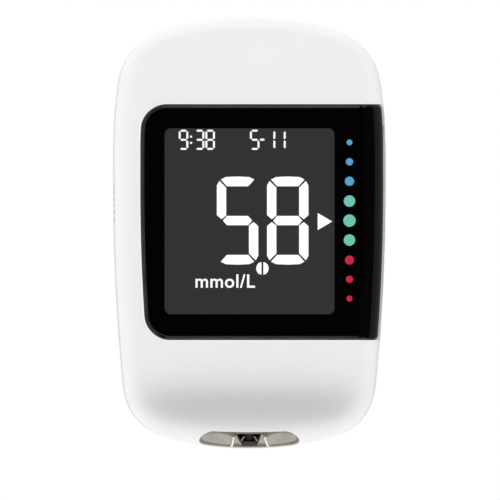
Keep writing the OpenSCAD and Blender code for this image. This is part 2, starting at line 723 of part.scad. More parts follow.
// Bezel of the strip port, which fills the opening in the nose
module port_shape(ys, grow) {
    h = port_h + 2 * grow;
    slab(about(0, port_w - port_h), ys, about(port_z, h));
    for (side = [-1, 1])
        translate([side * (port_w - port_h) / 2, ys[0], port_z])
            rotate([-90, 0, 0]) cylinder(d = h, h = ys[1] - ys[0]);
}
module port_bezel() {
    bezel_sunk = 0.3;
    lobe_r = 3.4;
    lobe_x = 5.7;
    color([0.62, 0.59, 0.55])
    difference() {
        intersection() {
            port_shape([-half_l - past, port_back], -0.02);
            case_loft(front_skin(bezel_sunk));
        }
        for (side = [-1, 1])
            translate([side * lobe_x, -half_l - 0.1, port_z + 1.7]) sphere(r = lobe_r);
        slab(about(0, slot_w), [-half_l - past, port_back + past], about(slot_z, slot_h));
        hull() {
            slab(about(0, 2.6), [-half_l - past, port_back - 2], [port_z - 1.7, port_z - 1.6]);
            slab(about(0, 4.9), [-half_l - past, port_back - 1.2], [port_z + port_h, port_z + port_h + 0.1]);
        }
    }
}

module front_shell() {
    color([0.94, 0.94, 0.93])
    difference() {
        union() {
            case_loft(front_rings);
            backing_wall();
            snap_tabs();
        }
        lens_pocket();
        slab(sight_x, sight_y, [deck_under - past, deck_top + past]);
        for (y = button_ys) button_hole(y);
        ejector_slot();
        port_shape([-half_l - past, port_back + 3], fit);
        round_usb(usb_w + 2 * slide_fit, usb_h + 2 * slide_fit, [half_l - wall - 4, half_l + past]);
    }
}

// Micro USB socket at the top end
module round_usb(w, h, ys) {
    r = h / 3;
    slab(about(0, w - 2 * r), ys, about(usb_z, h));
    slab(about(0, w), ys, about(usb_z, h - 2 * r));
    for (side = [-1, 1], up = [-1, 1])
        translate([side * (w / 2 - r), ys[0], usb_z + up * (h / 2 - r)])
            rotate([-90, 0, 0]) cylinder(r = r, h = ys[1] - ys[0]);
}
module usb_socket() {
    t = 0.3;
    color("silver")
    difference() {
        round_usb(usb_w, usb_h, usb_y);
        round_usb(usb_w - 2 * t, usb_h - 2 * t, [usb_y[0] + 0.8, usb_y[1] + past]);
    }
}
module usb_tongue() {
    color([0.1, 0.1, 0.1]) slab(about(0, 4), [usb_y[0] + 0.8, usb_y[1] - 0.8], about(usb_z + 0.3, 0.6));
}

// Battery bay, cells, contacts and door
module rear_shell() {
    color([0.93, 0.93, 0.92])
    difference() {
        union() {
            case_loft(rear_rings, upwards = true);
            for (side = [-1, 1])
                translate([side * cell_x, bay_y, wall / 2])
                    cylinder(r = seat_r + bay_wall, h = bay_ceiling + ceiling_t - wall / 2);
            slab(about(0, cell_x), about(bay_y, 2 * seat_r - 3), [wall / 2, bay_ceiling + ceiling_t]);
            slab(about(0, 2 * door_half + 1.6), grown(door_y, 0.8), [wall / 2, ledge_z + 0.7]);
            for (p = screw_points)
                translate([p.x, p.y, wall / 2]) cylinder(d = boss_d, h = pcb_z - wall / 2);
        }
        for (side = [-1, 1]) {
            translate([side * cell_x, bay_y, -past]) cylinder(r = seat_r, h = bay_ceiling + past);
            translate([side * (door_half - past), pivot_y, pivot_z]) rotate([0, side * 90, 0])
                cylinder(d = pivot_d + 0.1, h = past + pivot_reach + 0.15);
            slab(about(side * cell_x, tab_up_w + 0.8), [bay_y + seat_r - 0.4, bay_y + seat_r + 0.3],
                [ledge_z - past, bay_ceiling]);
            slab(about(side * cell_x, tab_foot_w + 0.4), about(bay_y + seat_r - 0.05, 0.5),
                [bay_ceiling - past, pcb_z]);
            slab(about(side * (cell_x + leaf_foot - 0.1), 0.5), about(bay_y, 1.8), [bay_ceiling - past, pcb_z]);
        }
        slab(about(0, 6), about(bay_y, 9), [-past, bay_ceiling]);
        round_slab(grown([-door_half, door_half], slide_fit), grown(door_y, slide_fit),
            [-past, ledge_z], door_corner + slide_fit);
        slab(grown([-door_half, door_half], slide_fit), [door_y[0] - slide_fit, bay_y], [-past, ledge_z]);
        translate([-scoop_w / 2, door_y[1] + 0.2, scoop_deep - scoop_r]) rotate([0, 90, 0])
            cylinder(r = scoop_r, h = scoop_w);
        for (p = screw_points)
            translate([p.x, p.y, wall]) cylinder(d = screw_d + 0.1, h = pcb_z - wall + past);
        snap_pockets();
    }
}
module coin_cell(side) {
    lid_r = cell_d / 2 - 1.3;
    step = 0.3;
    color("silver") translate([side * cell_x, bay_y, cell_z]) rotate_extrude($fn = 96)
        polygon([[0, 0], [cell_d / 2 - 0.3, 0], [cell_d / 2, 0.3], [cell_d / 2, cell_t - step - 0.2],
                 [cell_d / 2 - 0.3, cell_t - step], [lid_r, cell_t - step],
                 [lid_r - 0.2, cell_t], [0, cell_t]]);
}
module coin_cell_left() {
    coin_cell(-1);
}
module coin_cell_right() {
    coin_cell(1);
}
module negative_contacts() {
    touch = cell_top + 0.05;
    color("gold")
    for (side = [-1, 1])
        translate([side * cell_x, bay_y, 0]) mirror([side < 0 ? 1 : 0, 0, 0]) {
            translate([0, leaf_w / 2, 0]) rotate([90, 0, 0]) linear_extrude(leaf_w)
                polygon([[leaf_foot, bay_ceiling], [leaf_bend, bay_ceiling], [-1, touch + leaf_t],
                         [1.8 - leaf_tip, touch + leaf_t], [-leaf_tip, touch + leaf_t + 0.2],
                         [-leaf_tip, touch + 0.2], [1.8 - leaf_tip, touch], [-1, touch],
                         [leaf_bend, bay_ceiling - leaf_t], [leaf_foot, bay_ceiling - leaf_t]]);
            slab([leaf_foot - leaf_t, leaf_foot], about(0, 1.4), [bay_ceiling - leaf_t / 2, pcb_z]);
        }
}
module positive_contacts() {
    y = bay_y + seat_r - 0.15;
    color("gold")
    for (side = [-1, 1]) {
        slab(about(side * cell_x, tab_up_w), [y, y + leaf_t], [cell_z + 0.2, bay_ceiling]);
        slab(about(side * cell_x, tab_foot_w), [y, y + leaf_t], [bay_ceiling - past, pcb_z]);
    }
}
module battery_door() {
    color([0.92, 0.92, 0.91])
    difference() {
        union() {
            round_slab([-door_half, door_half], [pivot_y, door_y[1]], [door_z, door_z + door_t], 0.5);
            translate([-door_half, pivot_y, pivot_z]) rotate([0, 90, 0])
                cylinder(d = door_t, h = 2 * door_half);
            translate([-door_half - pivot_reach, pivot_y, pivot_z]) rotate([0, 90, 0])
                cylinder(d = pivot_d, h = 2 * (door_half + pivot_reach));
        }
        for (side = [-1, 1])
            corner_trim(side);
        for (i = [0 : 4])
            slab(about(0, 9), about(door_y[1] - 2.2 - i * 1.1, 0.5), [door_z - past, door_z + 0.3]);
    }
}
// Cuts one far corner of the door to its radius
module corner_trim(side) {
    difference() {
        translate([side * door_half, 0, 0])
            slab(about(0, 2 * door_corner), [door_y[1] - door_corner, door_y[1] + past],
                [door_z - past, door_z + door_t + past]);
        translate([side * (door_half - door_corner), door_y[1] - door_corner, door_z - 2 * past])
            cylinder(r = door_corner, h = door_t + 4 * past);
    }
}

// Circuit board and what is on it
module pcb() {
    color([0.05, 0.35, 0.2])
    difference() {
        translate([0, 0, pcb_z]) linear_extrude(pcb_t)
            polygon([for (i = [0 : 2 * m - 1]) let (k = i <= m ? i : 2 * m - i, p = outline_at(k, pcb_inset))
                [i <= m ? p.x : -p.x, p.y]]);
        slab([-half_w, half_w], [-half_l, port_back + 0.3], [pcb_z - past, pcb_top + past]);
        for (p = screw_points)
            translate([p.x, p.y, pcb_z - past]) cylinder(d = screw_d + 0.3, h = pcb_t + 2 * past);
    }
}
module pcb_screws() {
    head_h = 0.3 * screw_head_d;
    color("silver")
    for (p = screw_points)
        translate([p.x, p.y, 0])
            difference() {
                union() {
                    translate([0, 0, pcb_top]) cylinder(d = screw_head_d, h = head_h);
                    translate([0, 0, pcb_top - screw_l]) cylinder(d = screw_d, h = screw_l);
                }
                for (turn = [0, 90])
                    rotate([0, 0, turn])
                        slab(about(0, 0.55 * screw_head_d), about(0, 0.4),
                            [pcb_top + head_h / 2, pcb_top + head_h + past]);
            }
}
module microcontroller() {
    color([0.1, 0.1, 0.1])
    slab(about(chip_x, chip_size), about(chip_y, chip_size), [pcb_top + 0.1, pcb_top + 0.1 + chip_t]);
    color("silver")
    for (turn = [0 : 90 : 270], i = [-5 : 5])
        translate([chip_x, chip_y, pcb_top]) rotate([0, 0, turn])
            slab([chip_size / 2 - 0.2, chip_size / 2 + lead_l],
                about(i * lead_pitch, lead_pitch / 2), [0, 0.3]);
}
module radio_module() {
    color("silver")
    slab([-3.5 - radio_w, -3.5], [half_l - 7 - radio_l, half_l - 7], [pcb_top, pcb_top + 1.6]);
}
module crystal() {
    x = chip_x + chip_size / 2 + lead_l + 2.2;
    color("gainsboro")
    round_slab([x, x + crystal_l], about(chip_y, crystal_l / 2), [pcb_top, pcb_top + crystal_l / 4], 0.4);
}
module chip_parts() {
    height = [pcb_top, pcb_top + part_w];
    color("tan") {
        for (i = [0 : 5])
            slab(about(chip_x + (2 * i - 5) * part_l, part_l), about(chip_y + 7 * part_l, part_w), height);
        for (i = [0 : 3])
            slab(about(chip_x + 12.5 * part_l, part_w),
                about(chip_y + (2.4 * i - 4) * part_l, part_l), height);
        for (i = [0 : 3])
            slab(about((5 + 2 * i) * part_l, part_l), about(half_l - 9, part_w), height);
        for (i = [0 : 2])
            slab(about((2 * i - 14) * part_l, part_l),
                about(bar_y0 - eject_travel - 1.5, part_w), height);
    }
}

// Display: two glasses, the light guide and its lamps, the frame and the rubber connector
module lcd_cell() {
    color([0.25, 0.27, 0.26]) {
        slab(glass_x, glass_y, [glass_top - glass_t, glass_top]);
        slab(glass_x, [glass_y[0] + 1.6, glass_y[1]], [glass_top - 2 * glass_t, glass_top - glass_t]);
    }
}
module light_guide() {
    color([0.9, 0.9, 0.88])
        slab(grown(glass_x, -0.4), [glass_y[0] + 1.8, glass_y[1] - 1.8], [frame_floor, frame_floor + guide_t]);
}
module backlight_leds() {
    color("lightyellow")
    for (side = [-1, 1])
        slab(about((glass_x[0] + glass_x[1]) / 2 + side * 3 * led_l, led_l),
            [glass_y[1] - 1.75, glass_y[1] - 0.4], [frame_floor, frame_floor + guide_t]);
}
module lcd_frame() {
    color("white")
    difference() {
        slab(lcd_frame_x, lcd_frame_y, [pcb_top, glass_top]);
        slab(grown(glass_x, slide_fit), grown(glass_y, slide_fit), [frame_floor, glass_top + past]);
        slab(grown(glass_x, slide_fit), grown(glass_y, slide_fit),
            [pcb_top - past, frame_floor - frame_floor_t]);
        slab(grown(zebra_x, slide_fit), grown(zebra_y, slide_fit), [pcb_top, glass_top]);
        for (y = button_ys)
            slab([switch_x[0] - 0.3, lcd_frame_x[1] + past], about(y, 4.6),
                [pcb_top - past, pcb_top + switch_h + 0.15]);
    }
}
module zebra_strip() {
    color([0.2, 0.2, 0.22]) slab(zebra_x, zebra_y, [pcb_top, glass_top - glass_t]);
}

front_shell();
rear_shell();
display_lens();
lens_mask();
range_marks();
lens_adhesive();
lcd_cell();
light_guide();
backlight_leds();
lcd_frame();
zebra_strip();
pcb();
pcb_screws();
microcontroller();
radio_module();
crystal();
chip_parts();
usb_socket();
usb_tongue();
port_bezel();
strip_connector();
strip_contacts();
strip_ejector();
ejector_spring();
button_forward();
button_back();
switch_plunger_forward();
switch_plunger_back();
side_switches();
coin_cell_left();
coin_cell_right();
negative_contacts();
positive_contacts();
battery_door();
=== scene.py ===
import math

import bmesh
import bpy
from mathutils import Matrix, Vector


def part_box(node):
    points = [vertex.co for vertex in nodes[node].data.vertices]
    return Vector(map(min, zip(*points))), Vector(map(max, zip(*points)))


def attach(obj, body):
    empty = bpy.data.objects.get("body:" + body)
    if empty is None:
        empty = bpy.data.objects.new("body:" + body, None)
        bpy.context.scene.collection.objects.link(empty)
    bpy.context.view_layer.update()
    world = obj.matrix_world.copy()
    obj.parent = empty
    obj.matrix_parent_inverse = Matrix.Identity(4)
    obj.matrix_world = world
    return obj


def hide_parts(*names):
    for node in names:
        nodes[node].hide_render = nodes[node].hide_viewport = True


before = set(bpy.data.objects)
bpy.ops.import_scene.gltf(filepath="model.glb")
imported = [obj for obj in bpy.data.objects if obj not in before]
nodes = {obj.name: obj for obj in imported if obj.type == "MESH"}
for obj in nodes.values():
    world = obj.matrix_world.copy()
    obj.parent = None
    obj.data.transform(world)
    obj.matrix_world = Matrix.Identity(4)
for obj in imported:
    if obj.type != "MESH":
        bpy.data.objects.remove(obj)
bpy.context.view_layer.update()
mm = 0.001


def boxOf(name):
    # lowest and highest corner of a CAD node, in millimetres
    return [[v / mm for v in corner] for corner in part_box(name)]


caseHigh = boxOf("front_shell")[1]
lensLow, lensHigh = boxOf("display_lens")
lcdLow, lcdHigh = boxOf("lcd_cell")
boardTop = boxOf("pcb")[1][2]
print("frame loaded:", len(nodes), "CAD nodes")


# case form, in millimetres
case = {
    "halfW": caseHigh[0],
    "halfL": caseHigh[1],
    "deckTop": caseHigh[2],
    "topR": 57, "topCornerR": 11.65,
    "upperSideR": 85, "upperSideY": 15,
    "lowerSideR": 360, "lowerSideY": 8,
    "noseCornerR": 10.4, "noseEndR": 60,
    "wall": 1.5, "deck": 2.5, "seam": 5.4,
    "sideEdge": 3.5, "topEdge": 2.4, "topEdgeRun": 12,
    "noseLen": 17.5, "noseDrop": 5, "noseEdgeIn": 4.5, "noseEdgeDown": 4.2,
    "lipT": 0.7, "lipH": 0.9, "seamGroove": 0.16,
}
halfW, halfL, deckTop = case["halfW"], case["halfL"], case["deckTop"]


def meetingPoint(c1, r1, c2, r2):
    # right-hand meeting point of two circles
    vx, vy = c2[0] - c1[0], c2[1] - c1[1]
    d = math.hypot(vx, vy)
    a = (r1 * r1 - r2 * r2 + d * d) / (2 * d)
    h = math.sqrt(r1 * r1 - a * a)
    mx, my = c1[0] + vx * a / d, c1[1] + vy * a / d
    px, py = -vy * h / d, vx * h / d
    return max((mx + px, my + py), (mx - px, my - py))


def bearing(a, b):
    return math.atan2(b[1] - a[1], b[0] - a[0])


topC = (0, halfL - case["topR"])
upperC = (halfW - case["upperSideR"], case["upperSideY"])
lowerC = (halfW - case["lowerSideR"], case["lowerSideY"])
noseC = (0, case["noseEndR"] - halfL)
topK = meetingPoint(topC, case["topR"] - case["topCornerR"], upperC, case["upperSideR"] - case["topCornerR"])
noseK = meetingPoint(noseC, case["noseEndR"] - case["noseCornerR"],
                     lowerC, case["lowerSideR"] - case["noseCornerR"])


def arcRun(c, r, start, end, steps):
    return [(c[0], c[1], r, start + (end - start) * i / steps) for i in range(steps)]


def makeStations():
    # right half of the outline from the top end to the nose end, as centre, radius and angle
    quarter = math.pi / 2
    run = arcRun(topC, case["topR"], quarter, bearing(topC, topK), 14)
    run += arcRun(topK, case["topCornerR"], bearing(topC, topK), bearing(upperC, topK), 26)
    run += arcRun(upperC, case["upperSideR"], bearing(upperC, topK), 0, 10)
    straight = lowerC[1] - upperC[1]
    run += [(upperC[0], upperC[1] + straight * i / 4, case["upperSideR"], 0) for i in range(4)]
    run += arcRun(lowerC, case["lowerSideR"], 0, bearing(lowerC, noseK), 30)
    run += arcRun(noseK, case["noseCornerR"], bearing(lowerC, noseK), bearing(noseC, noseK), 26)
    run += arcRun(noseC, case["noseEndR"], bearing(noseC, noseK), -quarter, 14)
    return run + [(noseC[0], noseC[1], case["noseEndR"], -quarter)]


stations = makeStations()


def outlineAt(k, inset):
    cx, cy, r, a = stations[k]
    return cx + (r - inset) * math.cos(a), cy + (r - inset) * math.sin(a)


def halfWidth(y, inset=0.0):
    if y > case["upperSideY"]:
        return upperC[0] + math.sqrt((case["upperSideR"] - inset) ** 2 - (y - case["upperSideY"]) ** 2)
    if y < case["lowerSideY"]:
        return lowerC[0] + math.sqrt((case["lowerSideR"] - inset) ** 2 - (y - case["lowerSideY"]) ** 2)
    return halfW - inset


noseY = case["noseLen"] - halfL
fallR = (case["noseLen"] ** 2 + case["noseDrop"] ** 2) / (2 * case["noseDrop"])


def ease(t):
    t = max(0.0, min(1.0, t))
    return t * t * (3 - 2 * t)


def fall(y):
    # the nose falls away slowly at first, then faster
    if y >= noseY:
        return 0.0
    t = (noseY - y) / case["noseLen"]
    arc = fallR - math.sqrt(fallR ** 2 - (noseY - y) ** 2)
    return 0.5 * arc + 0.5 * case["noseDrop"] * t ** 3


def atNose(y):
    return ease((noseY - y) / case["noseLen"])


def atTop(y):
    return ease((y - halfL + case["topEdgeRun"]) / (0.7 * case["topEdgeRun"]))


def edgeIn(y):
    return (case["sideEdge"] + (case["noseEdgeIn"] - case["sideEdge"]) * atNose(y)
            + (case["topEdge"] - case["sideEdge"]) * atTop(y))


def edgeDown(y):
    return (case["sideEdge"] + (case["noseEdgeDown"] - case["sideEdge"]) * atNose(y)
            + (case["topEdge"] - case["sideEdge"]) * atTop(y))


# mesh helpers
def addObject(name, data):
    obj = bpy.data.objects.new(name, data)
    bpy.context.scene.collection.objects.link(obj)
    return obj


def addPiece(name, verts, faces, body="case", recalc=True):
    mesh = bpy.data.meshes.new(name)
    mesh.from_pydata([Vector(v) * mm for v in verts], [], faces)
    bm = bmesh.new()
    bm.from_mesh(mesh)
    bmesh.ops.remove_doubles(bm, verts=bm.verts, dist=1e-7)
    if recalc:
        bmesh.ops.recalc_face_normals(bm, faces=bm.faces)
    bm.to_mesh(mesh)
    bm.free()
    obj = addObject(name, mesh)
    if body:
        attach(obj, body)
    return obj


def smoothPiece(obj, angle):
    for poly in obj.data.polygons:
        poly.use_smooth = True
    obj.data.set_sharp_from_angle(angle=math.radians(angle))


def cutWith(obj, cutters):
    for cutter in cutters:
        mod = obj.modifiers.new("cut", "BOOLEAN")
        mod.operation = "DIFFERENCE"
        mod.solver = "EXACT"
        mod.object = cutter
    bpy.context.view_layer.update()
    graph = bpy.context.evaluated_depsgraph_get()
    whole = obj.data
    obj.data = bpy.data.meshes.new_from_object(obj.evaluated_get(graph))
    obj.modifiers.clear()
    bpy.data.meshes.remove(whole)
    for cutter in cutters:
        bpy.data.objects.remove(cutter)


def joinInto(obj, other):
    bm = bmesh.new()
    bm.from_mesh(obj.data)
    bm.from_mesh(other.data)
    bpy.data.objects.remove(other)
    bm.to_mesh(obj.data)
    bm.free()


def caseRing(insetAt, heightAt):
    m = len(stations) - 1
    ring = []
    for i in range(2 * m):
        k = i if i <= m else 2 * m - i
        y0 = outlineAt(k, 0)[1]
        x, y = outlineAt(k, insetAt(y0))
        ring.append((x if i <= m else -x, y, heightAt(y0, y)))
    return ring


def caseLoft(rings):
    # verts and faces through a stack of case rings, with both ends closed from side to side
    n = len(rings[0])
    m = n // 2
    verts = [p for ring in rings for p in ring]
    faces = []
    for r in range(len(rings) - 1):
        for i in range(n):
            a, b = r * n + i, r * n + (i + 1) % n
            faces.append((a, a + n, b + n, b))
    for base in (0, (len(rings) - 1) * n):
        faces.append((base, base + 1, base + n - 1))
        faces += [(base + k, base + k + 1, base + n - k - 1, base + n - k) for k in range(1, m - 1)]
        faces.append((base + m - 1, base + m, base + m + 1))
    return verts, faces


def stack(layers, axis="z"):
    # verts and faces through closed loops of 2-D points, each with its place along an axis
    n = len(layers[0][0])
    verts, faces = [], []
    for loop, at in layers:
        for p, q in loop:
            verts.append({"x": (at, p, q), "y": (p, at, q), "z": (p, q, at)}[axis])
    for r in range(len(layers) - 1):
        for i in range(n):
            a, b = r * n + i, r * n + (i + 1) % n
            faces.append((a, b, b + n, a + n))
    last = (len(layers) - 1) * n
    faces.append(tuple(range(n)))
    faces.append(tuple(range(last, last + n)))
    return verts, faces


def addSolid(layers, axis="z"):
    # a solid that rides on nothing, to cut with or to join to a piece
    return addPiece("cutter", *stack(layers, axis), body=None)


def roundLoop(cx, cy, w, h, r, steps=8):
    # rounded rectangle as a closed loop
    r = min(r, w / 2 - 1e-4, h / 2 - 1e-4)
    loop = []
    for qx, qy, start in ((1, 1, 0), (-1, 1, 90), (-1, -1, 180), (1, -1, 270)):
        for i in range(steps + 1):
            a = math.radians(start + 90 * i / steps)
            loop.append((cx + qx * (w / 2 - r) + r * math.cos(a), cy + qy * (h / 2 - r) + r * math.sin(a)))
    return loop


def circleLoop(cx, cy, r, steps=48):
    return [(cx + r * math.cos(2 * math.pi * i / steps), cy + r * math.sin(2 * math.pi * i / steps))
            for i in range(steps)]


def sheetLoft(ys, outer, inner):
    # verts and faces between two paths in XZ, carried along Y
    verts, faces = [], []
    n = len(outer(ys[0]))
    for y in ys:
        verts += [(p[0], y, p[1]) for p in outer(y)]
        verts += [(p[0], y, p[1]) for p in reversed(inner(y))]
    for r in range(len(ys) - 1):
        for i in range(2 * n):
            a, b = r * 2 * n + i, r * 2 * n + (i + 1) % (2 * n)
            faces.append((a, a + 2 * n, b + 2 * n, b))
    last = (len(ys) - 1) * 2 * n
    for k in range(n - 1):
        faces.append((k, k + 1, 2 * n - 2 - k, 2 * n - 1 - k))
        faces.append(tuple(i + last for i in (2 * n - 1 - k, 2 * n - 2 - k, k + 1, k)))
    return verts, faces


# lens form
lens = {
    "top": lensHigh[2], "y0": lensLow[1], "y1": lensHigh[1],
    "thick": 1.4, "margin": 4.7, "cornerR": 4.2, "rim": 0.6,
    "film": 0.12, "bond": 0.02, "tape": 0.28, "sideGap": 0.08, "fit": 0.1,
    "buttonYs": [(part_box(n)[0].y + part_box(n)[1].y) / 2 / mm for n in ("button_forward", "button_back")],
    "buttonZ": boardTop + 2, "buttonL": 4.8, "buttonH": 3.2, "buttonR": 1,
    "buttonGap": 0.15, "buttonRim": 0.22,
    "edgeLine": 0.34, "edgeSunk": 0.02,
}
lensUnder = lens["top"] - lens["thick"]
filmUnder = lensUnder - lens["bond"] - lens["film"]
pocketFloor = filmUnder - lens["tape"]
wrapDepth = lens["thick"] + lens["bond"] + lens["film"] + lens["sideGap"]
lensFoot = case["seam"] + 0.05
lensStep = case["seam"] + case["lipH"] + 0.15


def endGap(y, grow):
    return min(lens["y1"] + grow - y, y - lens["y0"] + grow)


def cornerCut(e, r):
    return 0.0 if e >= r else r - math.sqrt(max(0.0, r * r - (r - e) ** 2))


def lensLeft(y, grow):
    return cornerCut(endGap(y, grow), lens["cornerR"] + grow) - halfWidth(y, lens["margin"] - grow)


def lensYs(grow, endSteps=20, midSteps=40):
    reach = lens["cornerR"] + grow
    low, high = lens["y0"] - grow, lens["y1"] + grow
    ends = [reach * (1 - math.cos(math.pi / 2 * i / endSteps)) for i in range(endSteps + 1)]
    fine = [0.02, 0.06, 0.12, 0.2, 0.3, 0.45]
    ends = sorted(set(round(e, 5) for e in ends + fine))
    mid = [low + reach + (high - low - 2 * reach) * i / midSteps for i in range(1, midSteps)]
    return [low + e for e in ends] + mid + [high - e for e in reversed(ends)]


def wrapPath(y, depthX, depthZ, steps=20):
    edge = case["sideEdge"]
    path = []
    for i in range(steps + 1):
        a = math.pi / 2 * (1 - i / steps)
        path.append((halfWidth(y) - edge + (edge - depthX) * math.cos(a),
                     lens["top"] - edge + (edge - depthZ) * math.sin(a)))
    return path


def lensOuter(y, rimSteps=8):
    x, w = lensLeft(y, 0), halfWidth(y)
    rim, top = lens["rim"], lens["top"]
    dip = cornerCut(endGap(y, 0), rim)
    path = []
    for i in range(rimSteps + 1):
        a = math.pi / 2 * i / rimSteps
        path.append((x + rim * (1 - math.cos(a)), top - max(dip, rim * (1 - math.sin(a)))))
    path.append((x + rim + 0.5, top - dip))
    return path + wrapPath(y, dip, dip) + [(w - dip, z) for z in (lensStep + 0.4, lensStep - 0.3, lensFoot)]


def lensInner(y, rimSteps=8):
    x, w = lensLeft(y, 0), halfWidth(y)
    rim = lens["rim"]
    path = [(x + rim * (1 - math.cos(math.pi / 2 * i / rimSteps)), lensUnder) for i in range(rimSteps + 1)]
    path.append((x + rim + 0.5, lensUnder))
    return path + wrapPath(y, lens["thick"], lens["thick"]) + [
        (w - lens["thick"], lensStep), (w - case["lipT"], lensStep), (w - case["lipT"], lensFoot)]


def buttonCutters(flare=0.0):
    # rounded holes along X through the right side, one for each button
    grow, rim, cutters = lens["buttonGap"], lens["buttonRim"], []
    for y in lens["buttonYs"]:
        def loop(g):
            return roundLoop(y, lens["buttonZ"], lens["buttonL"] + 2 * g, lens["buttonH"] + 2 * g,
                             lens["buttonR"] + g)
        face = halfWidth(y)
        cutters.append(addSolid([
            (loop(grow), face - wrapDepth - 2), (loop(grow), face - rim),
            (loop(grow + flare), face - rim + flare), (loop(grow + flare), face + 1)], "x"))
    return cutters


def cornerLoop(xs, ys):
    return [(xs[0], ys[0]), (xs[1], ys[0]), (xs[1], ys[1]), (xs[0], ys[1])]


def boxCutter(xs, ys, zs):
    return addSolid([(cornerLoop(xs, ys), z) for z in zs])


# shader groups
def makeGroup(name, inputs, outputs):
    tree = bpy.data.node_groups.new(name, "ShaderNodeTree")
    for label, value in inputs.items():
        socket = tree.interface.new_socket(name=label, in_out="INPUT", socket_type="NodeSocketFloat")
        socket.default_value = value
    for label in outputs:
        tree.interface.new_socket(name=label, in_out="OUTPUT", socket_type="NodeSocketFloat")
    return tree, tree.nodes.new("NodeGroupInput"), tree.nodes.new("NodeGroupOutput")


def makeMaterial(name):
    mat = bpy.data.materials.new(name)
    mat.use_nodes = True
    return mat, mat.node_tree, mat.node_tree.nodes["Principled BSDF"]


def addNode(tree, kind, **settings):
    node = tree.nodes.new("ShaderNode" + kind)
    for key, value in settings.items():
        setattr(node, key, value)
    return node


def setInputs(node, **values):
    # sets inputs by name, with an underscore for each space
    for key, value in values.items():
        node.inputs[key.replace("_", " ")].default_value = value


def link(tree, value, socket):
    # links an output to a socket, or sets a number or a colour on it
    if isinstance(value, (int, float)):
        socket.default_value = value
    elif isinstance(value, tuple):
        socket.default_value = (*value, 1)
    else:
        tree.links.new(value, socket)


def mathNode(tree, operation, *values, clamp=False):
    node = addNode(tree, "Math", operation=operation, use_clamp=clamp)
    for value, socket in zip(values, node.inputs):
        link(tree, value, socket)
    return node.outputs[0]


def mixColor(tree, factor, a, b, blend="MIX"):
    node = addNode(tree, "Mix", data_type="RGBA", blend_type=blend)
    for value, socket in ((factor, 0), (a, 6), (b, 7)):
        link(tree, value, node.inputs[socket])
    return node.outputs[2]


def mapRange(tree, value, limits):
    node = addNode(tree, "MapRange")
    link(tree, value, node.inputs["Value"])
    for limit, name in zip(limits, ("From Min", "From Max", "To Min", "To Max")):
        link(tree, limit, node.inputs[name])
    return node.outputs["Result"]


def noiseNode(tree, coord, scale, detail):
    node = addNode(tree, "TexNoise")
    for value, name in ((coord, "Vector"), (scale, "Scale"), (detail, "Detail")):
        link(tree, value, node.inputs[name])
    return node.outputs["Fac"]


def objectPlace(tree):
    return addNode(tree, "TexCoord").outputs["Object"]


def makeGrainGroup():
    # fine moulded grain: one noise for height, and a slow one for roughness and tone
    tree, given, made = makeGroup(
        "mouldedGrain", {"Scale": 9000.0, "Rough Low": 0.4, "Rough High": 0.5, "Tone Spread": 0.02},
        ("Height", "Roughness", "Tone"))
    place, scale, spread = objectPlace(tree), given.outputs["Scale"], given.outputs["Tone Spread"]
    coarse = noiseNode(tree, place, mathNode(tree, "MULTIPLY", scale, 0.02), 2)
    link(tree, noiseNode(tree, place, scale, 3), made.inputs["Height"])
    rough = mapRange(tree, coarse, (0.3, 0.7, given.outputs["Rough Low"], given.outputs["Rough High"]))
    link(tree, rough, made.inputs["Roughness"])
    tone = mathNode(tree, "MULTIPLY_ADD", coarse, spread, 1.0)
    link(tree, mathNode(tree, "ADD", tone, mathNode(tree, "MULTIPLY", spread, -0.5)), made.inputs["Tone"])
    return tree


def makeWearGroup():
    # edges polished by handling: convex edges, broken up by noise
    tree, given, made = makeGroup("edgeWear", {"Start": 0.53, "End": 0.6, "Amount": 0.5}, ("Mask",))
    pointed = addNode(tree, "NewGeometry").outputs["Pointiness"]
    ramp = mapRange(tree, pointed, (given.outputs["Start"], given.outputs["End"], 0.0, 1.0))
    broken = mathNode(tree, "MULTIPLY", ramp, noiseNode(tree, objectPlace(tree), 900, 4), clamp=True)
    link(tree, mathNode(tree, "MULTIPLY", broken, given.outputs["Amount"], clamp=True), made.inputs["Mask"])
    return tree


def makeDustGroup():
    # sparse fine specks, in patches
    tree, given, made = makeGroup("settledDust", {"Scale": 2500.0, "Amount": 0.05}, ("Mask",))
    place = objectPlace(tree)
    cells = addNode(tree, "TexVoronoi")
    link(tree, place, cells.inputs["Vector"])
    link(tree, given.outputs["Scale"], cells.inputs["Scale"])
    speck = mathNode(tree, "LESS_THAN", cells.outputs["Distance"], 0.12)
    patch = mathNode(tree, "GREATER_THAN", noiseNode(tree, place, 220, 2), 0.56)
    both = mathNode(tree, "MULTIPLY", speck, patch)
    link(tree, mathNode(tree, "MULTIPLY", both, given.outputs["Amount"], clamp=True), made.inputs["Mask"])
    return tree


grainGroup, wearGroup, dustGroup = makeGrainGroup(), makeWearGroup(), makeDustGroup()


def useGroup(tree, group, **values):
    node = tree.nodes.new("ShaderNodeGroup")
    node.node_tree = group
    setInputs(node, **values)
    return node


def tonedColor(tree, grain, color):
    # a colour whose value follows the grain's slow tone
    node = addNode(tree, "HueSaturation")
    link(tree, color, node.inputs["Color"])
    link(tree, grain.outputs["Tone"], node.inputs["Value"])
    return node.outputs["Color"]


def srgb(r, g, b):
    # a colour read as 0-255, in linear light
    return tuple(((c / 255 + 0.055) / 1.055) ** 2.4 if c > 10 else c / 255 / 12.92 for c in (r, g, b))


surface = {
    "grain": 9000.0, "bump": 0.1, "bumpDepth": 0.02, "tone": 0.03, "metal": 0.0, "shine": 0.5, "ior": 1.5,
    "coat": 0.0, "coatRough": 0.1, "clear": 0.0,
    "wear": 0.3, "wearFrom": 0.52, "wearTo": 0.62, "dust": 0.03, "dustColor": (0.62, 0.6, 0.56),
}


